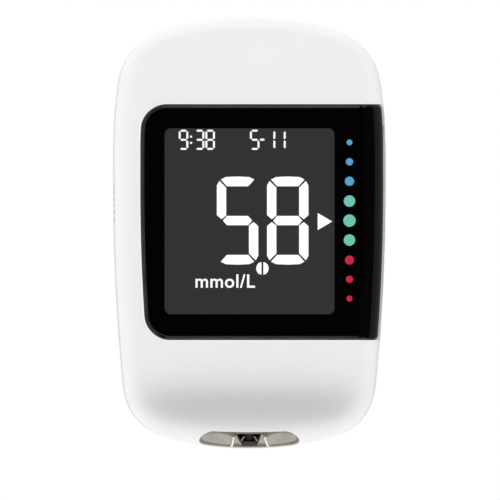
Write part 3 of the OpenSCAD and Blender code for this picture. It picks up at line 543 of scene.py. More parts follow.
def makeFinish(name, look):
    # a moulded, painted or metal surface: base colour with grain, tone, edge wear and dust
    look = {**surface, "wornColor": look["color"], **look}
    mat, tree, shader = makeMaterial(name)
    low, high = look["rough"]
    grain = useGroup(tree, grainGroup, Scale=look["grain"], Rough_Low=low, Rough_High=high,
                     Tone_Spread=look["tone"])
    wear = useGroup(tree, wearGroup, Start=look["wearFrom"], End=look["wearTo"], Amount=look["wear"])
    dust = useGroup(tree, dustGroup, Amount=look["dust"])
    worn = mixColor(tree, wear.outputs["Mask"], tonedColor(tree, grain, look["color"]), look["wornColor"])
    dusty = mixColor(tree, dust.outputs["Mask"], worn, look["dustColor"])
    link(tree, dusty, shader.inputs["Base Color"])
    link(tree, grain.outputs["Roughness"], shader.inputs["Roughness"])
    bump = addNode(tree, "Bump")
    setInputs(bump, Strength=look["bump"], Distance=look["bumpDepth"] * mm)
    link(tree, grain.outputs["Height"], bump.inputs["Height"])
    link(tree, bump.outputs["Normal"], shader.inputs["Normal"])
    setInputs(shader, Metallic=look["metal"], Specular_IOR_Level=look["shine"], IOR=look["ior"],
              Coat_Weight=look["coat"], Coat_Roughness=look["coatRough"], Transmission_Weight=look["clear"])
    return mat


def lightUp(tree, shader, color, strength, scale, spread):
    # a backlit surface: its light varies a little over it
    grain = useGroup(tree, grainGroup, Scale=scale, Rough_Low=0.35, Rough_High=0.5, Tone_Spread=spread)
    toned = tonedColor(tree, grain, color)
    link(tree, toned, shader.inputs["Emission Color"])
    link(tree, toned, shader.inputs["Base Color"])
    link(tree, grain.outputs["Roughness"], shader.inputs["Roughness"])
    setInputs(shader, Emission_Strength=strength)


finishes = {
    "housing": {"color": srgb(241, 241, 239), "rough": (0.38, 0.46), "grain": 7000.0, "bump": 0.12,
        "tone": 0.012, "wear": 0.25, "wornColor": srgb(247, 247, 246), "dust": 0.05},
    # painted highlight: a whiter finish for the thin ring round the lens, standing in for the light line on
    # the opening's edge
    "housingPaintedHighlight": {"color": srgb(254, 254, 253), "rough": (0.3, 0.36), "grain": 7000.0, "bump": 0.05,
        "tone": 0.01, "wear": 0.0, "dust": 0.02},
    "housingBack": {"color": srgb(238, 238, 236), "rough": (0.42, 0.52), "grain": 7000.0, "bump": 0.18,
        "tone": 0.015, "wear": 0.25, "wornColor": srgb(245, 245, 244), "dust": 0.05},
    "doorPlastic": {"color": srgb(236, 236, 234), "rough": (0.42, 0.52), "grain": 6500.0, "bump": 0.2,
        "tone": 0.02, "wornColor": srgb(244, 244, 243), "dust": 0.06},
    "lensPlastic": {"color": (0.80, 0.81, 0.82), "rough": (0.0, 0.015), "grain": 400.0, "bump": 0.0,
        "tone": 0.01, "wear": 0.0, "dust": 0.0, "clear": 1.0, "ior": 1.49},
    "lensInk": {"color": (0.0025, 0.0026, 0.0028), "rough": (0.3, 0.4), "grain": 5000.0, "bump": 0.05,
        "tone": 0.2, "wear": 0.0, "dust": 0.0, "shine": 0.0},
    "lensSide": {"color": (0.0012, 0.0012, 0.0013), "rough": (0.01, 0.04), "grain": 3000.0, "bump": 0.02,
        "tone": 0.2, "wear": 0.0, "dust": 0.0, "ior": 1.49},
    # painted highlight: grey for the line just inside the lens's rim
    "edgeGrey": {"color": (0.3, 0.3, 0.31), "rough": (0.4, 0.5), "grain": 6000.0, "bump": 0.05,
        "tone": 0.1, "wear": 0.0, "dust": 0.0, "shine": 0.2},
    "foamTape": {"color": (0.012, 0.012, 0.012), "rough": (0.8, 0.95), "bump": 0.5, "tone": 0.3,
        "wear": 0.0, "dust": 0.0},
    "satinBlack": {"color": (0.018, 0.018, 0.02), "rough": (0.32, 0.42), "bump": 0.15, "tone": 0.08,
        "wear": 0.5, "wornColor": (0.06, 0.06, 0.06), "dust": 0.04},
    "bezelMetal": {"color": srgb(164, 158, 147), "rough": (0.2, 0.3), "grain": 12000.0, "tone": 0.05,
        "metal": 0.6, "wornColor": srgb(222, 218, 210), "dust": 0.02, "coat": 0.2},
    # painted shade: a darker olive for the bezel's rim and top band, where the recess's upper wall lies in
    # shade
    "bezelRimShade": {"color": srgb(112, 106, 94), "rough": (0.28, 0.38), "grain": 12000.0, "tone": 0.06,
        "metal": 0.4, "wornColor": srgb(176, 170, 156), "dust": 0.02},
    "bezelRib": {"color": srgb(236, 233, 224), "rough": (0.3, 0.4), "grain": 12000.0, "bump": 0.08,
        "tone": 0.04, "metal": 0.1, "wear": 0.2, "wornColor": srgb(246, 244, 238), "dust": 0.02},
    "slotPlastic": {"color": srgb(17, 14, 13), "rough": (0.42, 0.55), "bump": 0.15, "tone": 0.15,
        "wear": 0.2, "wornColor": srgb(30, 26, 24), "dust": 0.0, "shine": 0.15},
    "slotGrey": {"color": srgb(170, 166, 160), "rough": (0.4, 0.5), "tone": 0.06, "wear": 0.2,
        "wornColor": srgb(200, 196, 190), "dust": 0.02},
    "paleGrey": {"color": srgb(205, 206, 206), "rough": (0.45, 0.55), "grain": 8000.0, "bump": 0.2,
        "wear": 0.4, "wornColor": srgb(226, 226, 225), "dust": 0.05},
    "boardGreen": {"color": (0.012, 0.10, 0.05), "rough": (0.22, 0.36), "grain": 2500.0, "bump": 0.2,
        "tone": 0.25, "coat": 0.4, "wear": 0.2, "wornColor": (0.05, 0.2, 0.1)},
    "tinPlate": {"color": (0.62, 0.62, 0.63), "rough": (0.2, 0.38), "grain": 6000.0, "bump": 0.15,
        "tone": 0.12, "metal": 1.0, "wear": 0.5, "wornColor": (0.78, 0.78, 0.78)},
    "cellNickel": {"color": (0.66, 0.65, 0.63), "rough": (0.16, 0.32), "grain": 3500.0, "tone": 0.12,
        "metal": 1.0, "wear": 0.5, "wornColor": (0.8, 0.79, 0.77)},
    "goldPlate": {"color": (0.83, 0.60, 0.24), "rough": (0.2, 0.34), "grain": 7000.0, "bump": 0.12,
        "tone": 0.1, "metal": 1.0, "wear": 0.5, "wornColor": (0.9, 0.72, 0.42), "dust": 0.02},
    "chipEpoxy": {"color": (0.02, 0.02, 0.022), "rough": (0.5, 0.65), "bump": 0.4, "tone": 0.15,
        "wornColor": (0.06, 0.06, 0.06)},
    "firedCeramic": {"color": (0.42, 0.32, 0.2), "rough": (0.4, 0.55), "grain": 8000.0, "bump": 0.2,
        "tone": 0.2, "wornColor": (0.6, 0.52, 0.4), "dust": 0.02},
    "whiteFrame": {"color": (0.78, 0.78, 0.77), "rough": (0.4, 0.5), "grain": 8000.0, "bump": 0.15,
        "wear": 0.2, "wornColor": (0.85, 0.85, 0.85)},
    "guideClear": {"color": (0.88, 0.89, 0.9), "rough": (0.05, 0.12), "grain": 3000.0, "bump": 0.05,
        "wear": 0.1, "wornColor": (0.95, 0.95, 0.95), "dust": 0.0, "clear": 0.6},
    "layeredRubber": {"color": (0.07, 0.07, 0.08), "rough": (0.7, 0.85), "bump": 0.4, "tone": 0.3,
        "wear": 0.1, "wornColor": (0.1, 0.1, 0.1)},
    "lampPhosphor": {"color": (0.9, 0.82, 0.4), "rough": (0.3, 0.45), "grain": 5000.0, "bump": 0.2,
        "tone": 0.15, "wear": 0.2, "wornColor": (0.95, 0.9, 0.7), "dust": 0.0},
}
materials = {name: makeFinish(name, look) for name, look in finishes.items()}
print("finishes made:", len(materials))


def paint(obj, names):
    # one finish or a list of them, by name, or a ready material; every face starts with the first
    obj.data.materials.clear()
    for name in names if isinstance(names, list) else [names]:
        obj.data.materials.append(materials[name] if isinstance(name, str) else name)


# front shell
port = {"width": 17.7, "height": 5.2, "z": boardTop + 1.35, "back": -halfL + 5.3, "mouth": 1, "behind": 3}
socket = {
    "width": 7.5, "height": 2.5, "z": boardTop + 1.25, "gap": 0.15, "cornerR": 0.85,
    "flare": 1.25, "flareFrom": 0.25, "deep": 6,
}
ejector = {
    "padZ": boardTop + 2.4, "padH": 2.6, "padY": (case["lowerSideY"] - 6, case["lowerSideY"] + 1),
    "travel": 3.5, "gap": 0.15, "gapZ": 0.3, "cornerR": 0.3,
    "flare": 0.9, "flareX": (-0.75, 0.15), "deep": 2.5,
}


def frontRings(edgeSteps=14):
    rings = [caseRing(lambda y: edgeIn(y) + d, lambda y0, y: deckTop - fall(y)) for d in (1.2, 0.5)]
    for i in range(edgeSteps + 1):
        a = math.pi / 2 * (1 - i / edgeSteps)
        rings.append(caseRing(lambda y: edgeIn(y) * (1 - math.cos(a)),
                              lambda y0, y: deckTop - fall(y) - edgeDown(y) * (1 - math.sin(a))))
    return rings


def backRings(edgeSteps=6):
    # down the seam's groove and lip, then up inside the wall
    seam, groove, lipT, wall = case["seam"], case["seamGroove"], case["lipT"], case["wall"]
    lipTop = seam + case["lipH"] + 0.1
    rings = []
    for inset, z in ((0, seam + groove + 0.35), (0, seam + groove), (groove * 0.4, seam + groove * 0.4),
                     (groove, seam), (lipT, seam), (lipT, lipTop), (wall, lipTop)):
        rings.append(caseRing(lambda y: inset, lambda y0, y: z))
    for i in range(edgeSteps + 1):
        a = math.pi / 2 * i / edgeSteps
        rings.append(caseRing(
            lambda y: wall + (edgeIn(y) - wall) * (1 - math.cos(a)),
            lambda y0, y: (min(deckTop - case["deck"], deckTop - fall(y) - wall)
                           - (edgeDown(y) - wall) * (1 - math.sin(a)))))
    return rings


def lensPocket():
    fit, far, foot = lens["fit"], 3, case["seam"] - 1
    return addPiece("cutter", *sheetLoft(
        lensYs(fit),
        lambda y: ([(lensLeft(y, fit), lens["top"] + far)] + wrapPath(y, -far, -far)
                   + [(halfWidth(y) + far, foot)]),
        lambda y: ([(lensLeft(y, fit), pocketFloor)] + wrapPath(y, wrapDepth, lens["top"] - pocketFloor)
                   + [(halfWidth(y) - wrapDepth, foot)])), body=None)


def highlightRingCutter():
    # the fine step in the deck round the lens, which marks out the ring painted whiter as a highlight
    line = lens["fit"] + lens["edgeLine"]
    right = halfW + 2

    def loop(g):
        return [(lensLeft(y, g), y) for y in lensYs(g)] + [(right, lens["y1"] + g), (right, lens["y0"] - g)]
    return addSolid([(loop(line - 0.03), deckTop - lens["edgeSunk"]), (loop(line + 0.03), deckTop + 0.5)])


def portCutter():
    g = lens["fit"]
    loop = roundLoop(0, port["z"], port["width"] + 2 * g, port["height"] + 2 * g, port["height"] / 2 + g, 16)
    return addSolid([(loop, -halfL - port["mouth"]), (loop, port["back"] + port["behind"])], "y")


def socketCutter():
    def loop(g):
        return roundLoop(0, socket["z"], socket["width"] + 2 * g, socket["height"] + 2 * g,
                         socket["cornerR"] + g)
    gap = socket["gap"]
    return addSolid([(loop(gap), halfL - socket["deep"]), (loop(gap), halfL - socket["flareFrom"]),
                     (loop(gap + socket["flare"]), halfL + 1)], "y")


def ejectorCutter():
    y0 = ejector["padY"][0] - ejector["travel"] - ejector["gap"]
    y1 = ejector["padY"][1] + ejector["gap"]

    def loop(g):
        return roundLoop((y0 + y1) / 2, ejector["padZ"], y1 - y0 + 2 * g,
                         ejector["padH"] + ejector["gapZ"] + 2 * g, ejector["cornerR"] + g, 5)
    flareX = ejector["flareX"]
    return addSolid([(loop(ejector["flare"]), -halfW + flareX[0]), (loop(0), -halfW + flareX[1]),
                     (loop(0), -halfW + ejector["deep"])], "x")


def makeBackingWall():
    # wall behind the lens's right side
    low, high = lens["y0"] - 1.6, lens["y1"] + 1.6
    ys = [low + (high - low) * i / 20 for i in range(21)]
    loop = [(halfWidth(y, wrapDepth), y) for y in ys]
    loop += [(halfWidth(y, wrapDepth + 1), y) for y in reversed(ys)]
    wall = addSolid([(loop, lensStep + 0.05), (loop, lens["top"] - case["sideEdge"] + 0.2)])
    cutWith(wall, buttonCutters())
    return wall


def makeFrontShell():
    shell = addPiece("housing_front", *caseLoft(frontRings() + backRings()))
    window = display["window"]
    sight = boxCutter((lcdLow[0] + 1.1, lcdHigh[0] - 0.3), (window[2] - 1.2, window[3] + 1.2),
                      (deckTop - case["deck"] - 1, deckTop + 1))
    cutWith(shell, [lensPocket(), highlightRingCutter(), sight] + buttonCutters()
            + [portCutter(), socketCutter(), ejectorCutter()])
    joinInto(shell, makeBackingWall())
    smoothPiece(shell, 28)
    paint(shell, ["housing", "housingPaintedHighlight"])
    # the sunk ring round the lens takes the whiter finish: a painted highlight line round the opening
    for poly in shell.data.polygons:
        x, y, z = poly.center / mm
        if poly.normal.z > 0.99 and abs(z - deckTop + lens["edgeSunk"]) < 0.004 and endGap(y, 0.5) > 0:
            poly.material_index = 1
    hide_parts("front_shell")


# display
display = {
    "window": (-15.1, 15.2, -14.45, 18.7), "windowR": 1.1,
    "markX": 17.87, "markYs": [16.19, 12.73, 9.26, 5.72, 2.24, -1.23, -4.79, -8.21, -11.66],
    "markD": [1.08, 1.34, 1.68, 2.08, 2.24, 2.08, 1.66, 1.34, 1.1],
    "bands": [(0.0, srgb(194, 38, 70)), (0.31, srgb(110, 192, 172)), (0.68, srgb(88, 158, 204))],
    "glassTop": lcdHigh[2], "backlight": srgb(53, 54, 55), "gain": 1.12,
    "lit": 1.3, "marksLit": 1.25, "segmentGap": 0.02, "segmentT": 0.02, "clearDeep": 0.015,
}


def makeLens():
    body = addPiece("display_window_lens", *sheetLoft(lensYs(0), lensOuter, lensInner))
    clearFace = lensUnder + display["clearDeep"]
    cutWith(body, buttonCutters(0.25) + clearCutters(lensUnder - 1, clearFace))
    smoothPiece(body, 35)
    # the print sits right on the plastic, so the back and the edges carry it; the right side is all black
    paint(body, ["lensPlastic", "lensInk", "lensSide"])
    for poly in body.data.polygons:
        x, y, z = poly.center / mm
        if x > halfWidth(y) - case["sideEdge"]:
            poly.material_index = 2
        elif poly.normal.z < 0.2 and abs(z - clearFace) >= 0.006:
            poly.material_index = 1
    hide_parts("display_lens")


def clearCutters(z0, z1):
    # the display window and the nine round windows, as cutters between two heights
    x0, x1, y0, y1 = display["window"]
    loops = [roundLoop((x0 + x1) / 2, (y0 + y1) / 2, x1 - x0, y1 - y0, display["windowR"], 10)]
    loops += [circleLoop(display["markX"], y, d / 2) for y, d in zip(display["markYs"], display["markD"])]
    return [addSolid([(loop, z0), (loop, z1)]) for loop in loops]


def makeMask():
    # black print: a thin film that reaches the lens's edges, with the window and mark openings
    inset, near = 0.02, lens["thick"] + lens["bond"]

    def path(y, depth):
        return ([(lensLeft(y, -inset), lens["top"] - depth)] + wrapPath(y, depth, depth)
                + [(halfWidth(y) - depth, lensStep + 0.1)])
    film = addPiece("lens_black_print", *sheetLoft(
        lensYs(-inset), lambda y: path(y, near), lambda y: path(y, near + lens["film"])))
    cutWith(film, clearCutters(filmUnder - 1, lensUnder + 1) + buttonCutters())
    smoothPiece(film, 35)
    paint(film, "lensInk")
    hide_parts("lens_mask")


def segmentPolys(x, y, w, h, t, gap, r, bow=0.0):
    # seven-segment digit from its lower left corner: one closed loop for each letter
    mid, top, right, half = y + h / 2, y + h, x + w, t / 2
    g = gap / math.sqrt(2)

    def upsideDown(loop):
        return [(px, 2 * mid - py) for px, py in loop]

    def mirrored(loop):
        return [(2 * x + w - px, py) for px, py in loop]
    polys = {
        "a": [(x + r * 0.3 + g, top - r * 0.3), (x + r + g * 0.5, top), (x + w / 2, top + bow),
              (right - r - g * 0.5, top), (right - r * 0.3 - g, top - r * 0.3),
              (right - t - g * 0.5, top - t), (x + t + g * 0.5, top - t)],
        "f": [(x, top - r), (x + r * 0.3, top - r * 0.3 - g), (x + t, top - t - g),
              (x + t, mid + half + g * 0.3), (x + half, mid + g), (x, mid + half + g * 0.6)],
        "g": [(x + half + g, mid), (x + t + g * 0.6, mid + half), (right - t - g * 0.6, mid + half),
              (right - half - g, mid), (right - t - g * 0.6, mid - half), (x + t + g * 0.6, mid - half)],
    }
    polys["d"] = upsideDown(polys["a"])
    polys["b"] = mirrored(polys["f"])
    polys["e"] = upsideDown(polys["f"])
    polys["c"] = mirrored(polys["e"])
    return polys


digitShapes = {"5": "afgcd", "8": "abcdefg", "9": "abcdfg", "3": "abcdg", "1": "bc"}


def addSolids(name, solids):
    # one piece made of several stacks of loops
    verts, faces = [], []
    for layers in solids:
        points, sides = stack(layers)
        faces += [tuple(i + len(verts) for i in side) for side in sides]
        verts += points
    return addPiece(name, verts, faces)


def makeSegments(name, polys, z, material):
    top = z + display["segmentT"]
    piece = addSolids(name, [[(poly, z), (poly, top)] for poly in polys])
    paint(piece, material)


reading = {
    "digits": [("5", -5.78), ("8", 3.17)], "y": -5.53, "w": 7.38, "h": 15.56, "t": 1.66, "gap": 0.36,
    "corner": 1.5, "bow": 0.08,
    "point": (2.34, -6.28, 1.1), "pointGap": 0.34,
    "pointer": [(12.2, 0.55), (14.8, 2.09), (12.2, 3.6)],
    "unit": "mmol/L", "unitX": (-9.59, 1.02), "unitY": -9.69, "unitCap": 2.36,
    "small": [("9", -12.58), ("3", -9.72), ("8", -7.83), ("5", 0.12), ("1", 4.17), ("1", 6.02)],
    "smallY": 14.87, "smallW": 1.7, "smallH": 3.6, "smallT": 0.35, "smallGap": 0.2, "smallCorner": 0.42,
    "colon": (-10.39, [17.24, 16.13], 0.2),
    "dash": (1.86, 2.76, 16.69, 0.36),
}


def pointHalf(side, steps=16):
    # one half of the decimal point, which a thin gap parts in two
    x, y, r = reading["point"]
    gap = reading["pointGap"] / 2
    turns = [math.radians(180 * i / steps - 90 * side) for i in range(steps + 1)]
    return [(x + side * gap + (r - gap) * math.cos(a), y + r * math.sin(a)) for a in turns]


def makeReading():
    lit, tree, shader = makeMaterial("litSegment")
    lightUp(tree, shader, (1.0, 1.0, 1.0), display["lit"], 4000.0, 0.03)
    z = display["glassTop"] + display["segmentGap"]
    r = reading
    big = []
    for digit, x in r["digits"]:
        polys = segmentPolys(x, r["y"], r["w"], r["h"], r["t"], r["gap"], r["corner"], r["bow"])
        big += [polys[k] for k in digitShapes[digit]]
    big += [pointHalf(-1), pointHalf(1)]
    makeSegments("reading_digits", big, z, lit)
    makeSegments("range_pointer", [r["pointer"]], z, lit)
    small = []
    for digit, x in r["small"]:
        # a 1 is narrow, so it moves left by the width it lacks
        x -= r["smallW"] - r["smallT"] * 1.35 if digit == "1" else 0
        polys = segmentPolys(x, r["smallY"], r["smallW"], r["smallH"], r["smallT"], r["smallGap"],
                             r["smallCorner"])
        small += [polys[k] for k in digitShapes[digit]]
    cx, cys, cr = r["colon"]
    small += [circleLoop(cx, cy, cr, 16) for cy in cys]
    x0, x1, y, t = r["dash"]
    t /= 2
    small.append([(x0, y), (x0 + t, y + t), (x1 - t, y + t), (x1, y), (x1 - t, y - t), (x0 + t, y - t)])
    makeSegments("time_and_date", small, z, lit)
    makeUnit(lit, z)


def makeUnit(material, z):
    # the unit under the reading, set in Blender's own face and made a mesh
    curve = bpy.data.curves.new("unit", "FONT")
    curve.body = reading["unit"]
    curve.size = 0.01
    curve.offset = 0.00012
    curve.space_character = 1.07
    curve.extrude = 0.00001
    curve.resolution_u = 4
    temp = addObject("unitText", curve)
    bpy.context.view_layer.update()
    mesh = bpy.data.meshes.new_from_object(temp.evaluated_get(bpy.context.evaluated_depsgraph_get()))
    bpy.data.objects.remove(temp)
    left, right = min(v.co.x for v in mesh.vertices), max(v.co.x for v in mesh.vertices)
    x0, x1 = reading["unitX"]
    scaleX = (x1 - x0) / (right - left)
    scaleY = reading["unitCap"] / max(v.co.y for v in mesh.vertices)
    for v in mesh.vertices:
        v.co = Vector((x0 + (v.co.x - left) * scaleX, reading["unitY"] + v.co.y * scaleY,
                       z + (display["segmentT"] if v.co.z > 0 else 0))) * mm
    unit = addObject("unit_label", mesh)
    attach(unit, "case")
    paint(unit, material)


def makeDisplayPanel():
    # the display's face: dark, evenly lit, with a fine cell pattern
    mat, tree, shader = makeMaterial("displayFace")
    grain = useGroup(tree, grainGroup, Scale=1500.0, Rough_Low=0.25, Rough_High=0.35, Tone_Spread=0.04)
    cells = addNode(tree, "TexChecker")
    link(tree, objectPlace(tree), cells.inputs["Vector"])
    setInputs(cells, Scale=3600, Color1=(1, 1, 1, 1), Color2=(0.96, 0.96, 0.97, 1))
    toned = tonedColor(tree, grain, tuple(c * display["gain"] for c in display["backlight"]))
    lit = mixColor(tree, 1, toned, cells.outputs["Color"], "MULTIPLY")
    link(tree, lit, shader.inputs["Emission Color"])
    link(tree, grain.outputs["Roughness"], shader.inputs["Roughness"])
    setInputs(shader, Base_Color=(0.01, 0.01, 0.012, 1), Emission_Strength=1.0)
    paint(nodes["lcd_cell"], mat)


def makeRangeMarks():
    # nine printed windows lit from behind: blue at the top, green, then red
    ys, top = display["markYs"], lensUnder - 0.03
    mat, tree, shader = makeMaterial("rangeMarks")
    split = addNode(tree, "SeparateXYZ")
    link(tree, objectPlace(tree), split.inputs[0])
    ramp = addNode(tree, "ValToRGB")
    ramp.color_ramp.interpolation = "CONSTANT"
    for i, (at, color) in enumerate(display["bands"]):
        stop = ramp.color_ramp.elements[i] if i < 2 else ramp.color_ramp.elements.new(at)
        stop.position = at
        stop.color = (*color, 1)
    link(tree, mapRange(tree, split.outputs["Y"], (ys[-1] * mm, ys[0] * mm, 0.0, 1.0)), ramp.inputs["Fac"])
    lightUp(tree, shader, ramp.outputs["Color"], display["marksLit"], 5000.0, 0.08)
    discs = []
    for y, d in zip(ys, display["markD"]):
        wide, narrow = [circleLoop(display["markX"], y, d / 2 - g) for g in (0.02, 0.06)]
        discs.append([(wide, filmUnder), (wide, top - 0.02), (narrow, top)])
    marks = addSolids("range_mark_discs", discs)
    smoothPiece(marks, 40)
    paint(marks, mat)
    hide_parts("range_marks")


rimHighlightLine = {"outer": 0.44, "inner": 0.64, "end": 4.4, "low": 0.05, "high": 0.08}


def makeRimHighlight():
    # painted highlight: a thin grey line in the lens, just inside its left, top and bottom edges, where the
    # rim's rounded edge shows a light line
    right = halfWidth(0) - rimHighlightLine["end"]

    def path(grow):
        pts = [(lensLeft(y, grow), y) for y in lensYs(grow)]
        return [(right, lens["y0"] - grow)] + pts + [(right, lens["y1"] + grow)]
    outer, inner = path(-rimHighlightLine["outer"]), path(-rimHighlightLine["inner"])
    n = len(outer)
    heights = lensUnder + rimHighlightLine["low"], lensUnder + rimHighlightLine["high"]
    verts = [(*p, z) for z in heights for p in outer + inner]
    faces = [(i, n + i, 3 * n + i, 2 * n + i) for i in (0, n - 1)]
    for i in range(n - 1):
        faces.append((i, i + 1, n + i + 1, n + i))
        faces.append((3 * n + i, 3 * n + i + 1, 2 * n + i + 1, 2 * n + i))
        faces.append((i, 2 * n + i, 2 * n + i + 1, i + 1))
        faces.append((n + i, n + i + 1, 3 * n + i + 1, 3 * n + i))
    line = addPiece("lens_rim_painted_highlight", verts, faces)
    paint(line, "edgeGrey")


seal = {"left": 1.15, "right": 0.35, "ends": 1.15, "clear": 0.35, "low": 0.05, "high": 0.03}


def makeLightSeal():
    # black foam frame that closes the opening between the display glass and the lens
    x0, x1, y0, y1 = display["window"]
    clear, ends = seal["clear"], seal["ends"]
    outer = cornerLoop((lcdLow[0] + seal["left"], lcdHigh[0] - seal["right"]), (y0 - ends, y1 + ends))
    inner = cornerLoop((x0 - clear, x1 + clear), (y0 - clear, y1 + clear))
    heights = display["glassTop"] + seal["low"], filmUnder - seal["high"]
    verts = [(*p, z) for loop in (outer, inner) for z in heights for p in loop]
    faces = []
    for i in range(4):
        j = (i + 1) % 4
        faces += [(i, j, 4 + j, 4 + i), (8 + i, 12 + i, 12 + j, 8 + j), (i, 8 + i, 8 + j, j),
                  (4 + i, 4 + j, 12 + j, 12 + i)]
    frameSeal = addPiece("light_seal", verts, faces)
    paint(frameSeal, "foamTape")


makeFrontShell()
print("front shell cut")
makeLens()
makeMask()
makeRimHighlight()
makeLightSeal()
makeRangeMarks()
makeDisplayPanel()
makeReading()
print("display built")


# strip port
bezel = {
    "gap": 0.02, "sunk": 0.2, "cone": 1.35, "columns": 420, "rows": 96,
    "focusX": 6.6, "focusUp": -0.25,
    "ribHalf": 0.13, "ribUp": 0.5,
    "ribs": [(-2.72, -3.27), (2.75, 3.55)],
    "mouthTop": (-0.15, 2.4), "mouthFoot": (0.08, 1.22), "mouthDeep": 3.9, "lid": 0.55,
}


def noseSkinY(x, z):
    # y of the case's outer skin at the nose, for a point across and up
    y0 = noseC[1] - math.sqrt(case["noseEndR"] ** 2 - x * x)
    eIn, eDown = edgeIn(y0), edgeDown(y0)

    def point(a):
        inset = eIn * (1 - math.cos(a))
        y = noseC[1] - math.sqrt((case["noseEndR"] - inset) ** 2 - x * x)
        return y, deckTop - fall(y) - eDown * (1 - math.sin(a))
    low, high = 0.0, math.pi / 2
    if z <= point(0)[1]:
        return y0
    for _ in range(30):
        mid = (low + high) / 2
        if point(mid)[1] < z:
            low = mid
        else:
            high = mid
    return point(low)[0]


def portSpot(x, up, z):
    # where a point of the port lies: distance from the edge, from the nearer rib, and inside the mouth
    r = port["height"] / 2
    t = (1 - up) / 2
    e = r - math.hypot(max(0.0, abs(x) - (port["width"] / 2 - r)), z - port["z"])
    top, foot = bezel["ribs"][0 if x < 0 else 1]
    rib = top + (foot - top) * t ** 1.4
    beyond = abs(x) - abs(rib)
    mid = bezel["mouthTop"][0] + (bezel["mouthFoot"][0] - bezel["mouthTop"][0]) * t
    half = bezel["mouthTop"][1] + (bezel["mouthFoot"][1] - bezel["mouthTop"][1]) * t
    return e, beyond, half - abs(x - mid)


def bezelDepth(x, up, z):
    # depth of the bezel's face behind the case's skin; up runs from -1 at its foot to 1 at its top
    b = bezel
    e, beyond, inMouth = portSpot(x, up, z)
    if beyond > 0:
        toEdge = min(e, beyond)
        away = math.hypot(abs(x) - b["focusX"], z - port["z"] - b["focusUp"])
        depth = b["sunk"] + b["cone"] * (1 - away / (away + toEdge + 1e-6)) ** 0.8
    else:
        depth = b["sunk"] + 0.45 * ease(min(e, -beyond) / 0.5)
    crest = ease(1 - (abs(beyond) - b["ribHalf"]) / 0.24) * ease(e / 0.5)
    depth += (max(0.05, depth - b["ribUp"]) - depth) * crest
    if inMouth > -0.1 and up < b["lid"] + 0.08:
        inside = ease((inMouth + 0.1) / 0.2) * ease((b["lid"] + 0.08 - up) / 0.08) * ease((up + 0.94) / 0.08)
        depth += (b["mouthDeep"] - depth) * inside
    return depth


def gridFaces(cols, rows):
    corners = [i * (rows + 1) + j for i in range(cols) for j in range(rows)]
    return [(a, a + rows + 1, a + rows + 2, a + 1) for a in corners]


def portHalf(x, least=0.0):
    # half height of the bezel at a place across it
    r = port["height"] / 2
    over = max(0.0, abs(x) - (port["width"] / 2 - r))
    return math.sqrt(max(least, (r - bezel["gap"]) ** 2 - over * over))


def makeBezel():
    b = bezel
    cols, rows = b["columns"], b["rows"]
    half = port["width"] / 2 - b["gap"]
    spread = math.pi * 0.48  # packs the columns closer towards both ends
    verts = []
    for i in range(cols + 1):
        x = half * math.sin(spread * (2 * i / cols - 1)) / math.sin(spread)
        zHalf = portHalf(x)
        for j in range(rows + 1):
            up = -1 + 2 * j / rows
            z = port["z"] + up * zHalf
            verts.append((x, noseSkinY(x, z) + bezelDepth(x, up, z), z))
    face = addPiece("port_bezel_face", verts, gridFaces(cols, rows), recalc=False)
    bm = bmesh.new()
    bm.from_mesh(face.data)
    edges = [e for e in bm.edges if e.is_boundary]
    out = bmesh.ops.extrude_edge_only(bm, edges=edges)
    for v in [g for g in out["geom"] if isinstance(g, bmesh.types.BMVert)]:
        v.co.y = port["back"] * mm
    bmesh.ops.recalc_face_normals(bm, faces=bm.faces)
    bm.to_mesh(face.data)
    bm.free()
    smoothPiece(face, 40)
    paint(face, ["bezelMetal", "bezelRimShade", "bezelRib", "slotPlastic"])
    for poly in face.data.polygons:
        x, y, z = poly.center / mm
        up = (z - port["z"]) / portHalf(x, 0.01)
        e, beyond, inMouth = portSpot(x, up, z)
        if inMouth > -0.06 and -0.92 < up < b["lid"] + 0.05:
            poly.material_index = 3
        elif abs(beyond) < b["ribHalf"] + 0.05 and e > 0.2 and up < b["lid"] + 0.1:
            poly.material_index = 2
        # the top band and outer rim take the darker finish: painted shade of the recess's upper wall
        elif up > b["lid"] or e < 0.42:
            poly.material_index = 1
    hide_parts("port_bezel")


guide = {
    "behind": 0.5, "foot": 0.3, "columns": 28, "rows": 18,
    "w": 1.15, "h": 3.3, "d": 1.3, "taper": 0.3, "lean": 1.1,
    "railIn": (0.72, 0.75), "railOut": (1.28, -0.1), "railW": 0.36, "railUp": 1.1, "railT": 0.25,
}


def makeSlotGuide():
    # dark dome in the mouth, between two pale rails that lead the strip in
    g = guide
    y = noseSkinY(0, port["z"]) + g["behind"]
    foot = port["z"] - port["height"] / 2 + g["foot"]
    cols, rows = g["columns"], g["rows"]
    verts = []
    for i in range(cols + 1):
        u = -1 + 2 * i / cols
        for j in range(rows + 1):
            v = j / rows
            bulge = math.sqrt(max(0.0, 1 - u * u)) * math.sqrt(max(0.0, 1 - v * v))
            verts.append((u * g["w"] * (1 - g["taper"] * v), y + g["d"] * (1 - bulge) + v * g["lean"],
                          foot + v * g["h"]))
    dome = addPiece("slot_guide", verts, gridFaces(cols, rows))
    smoothPiece(dome, 50)
    paint(dome, "slotPlastic")
    (inX, inY), (outX, outY), wide = g["railIn"], g["railOut"], g["railW"]
    z = foot + g["railUp"]
    for name, side in (("slot_rail_left", -1), ("slot_rail_right", 1)):
        corners = (inX, inY), (outX, outY), (outX + wide, outY), (inX + wide, inY)
        loop = [(side * x, y + behind) for x, behind in corners]
        rail = addPiece(name, *stack([(loop, z), (loop, z + g["railT"])]))
        paint(rail, "slotGrey")


makeBezel()
makeSlotGuide()
print("strip port built")


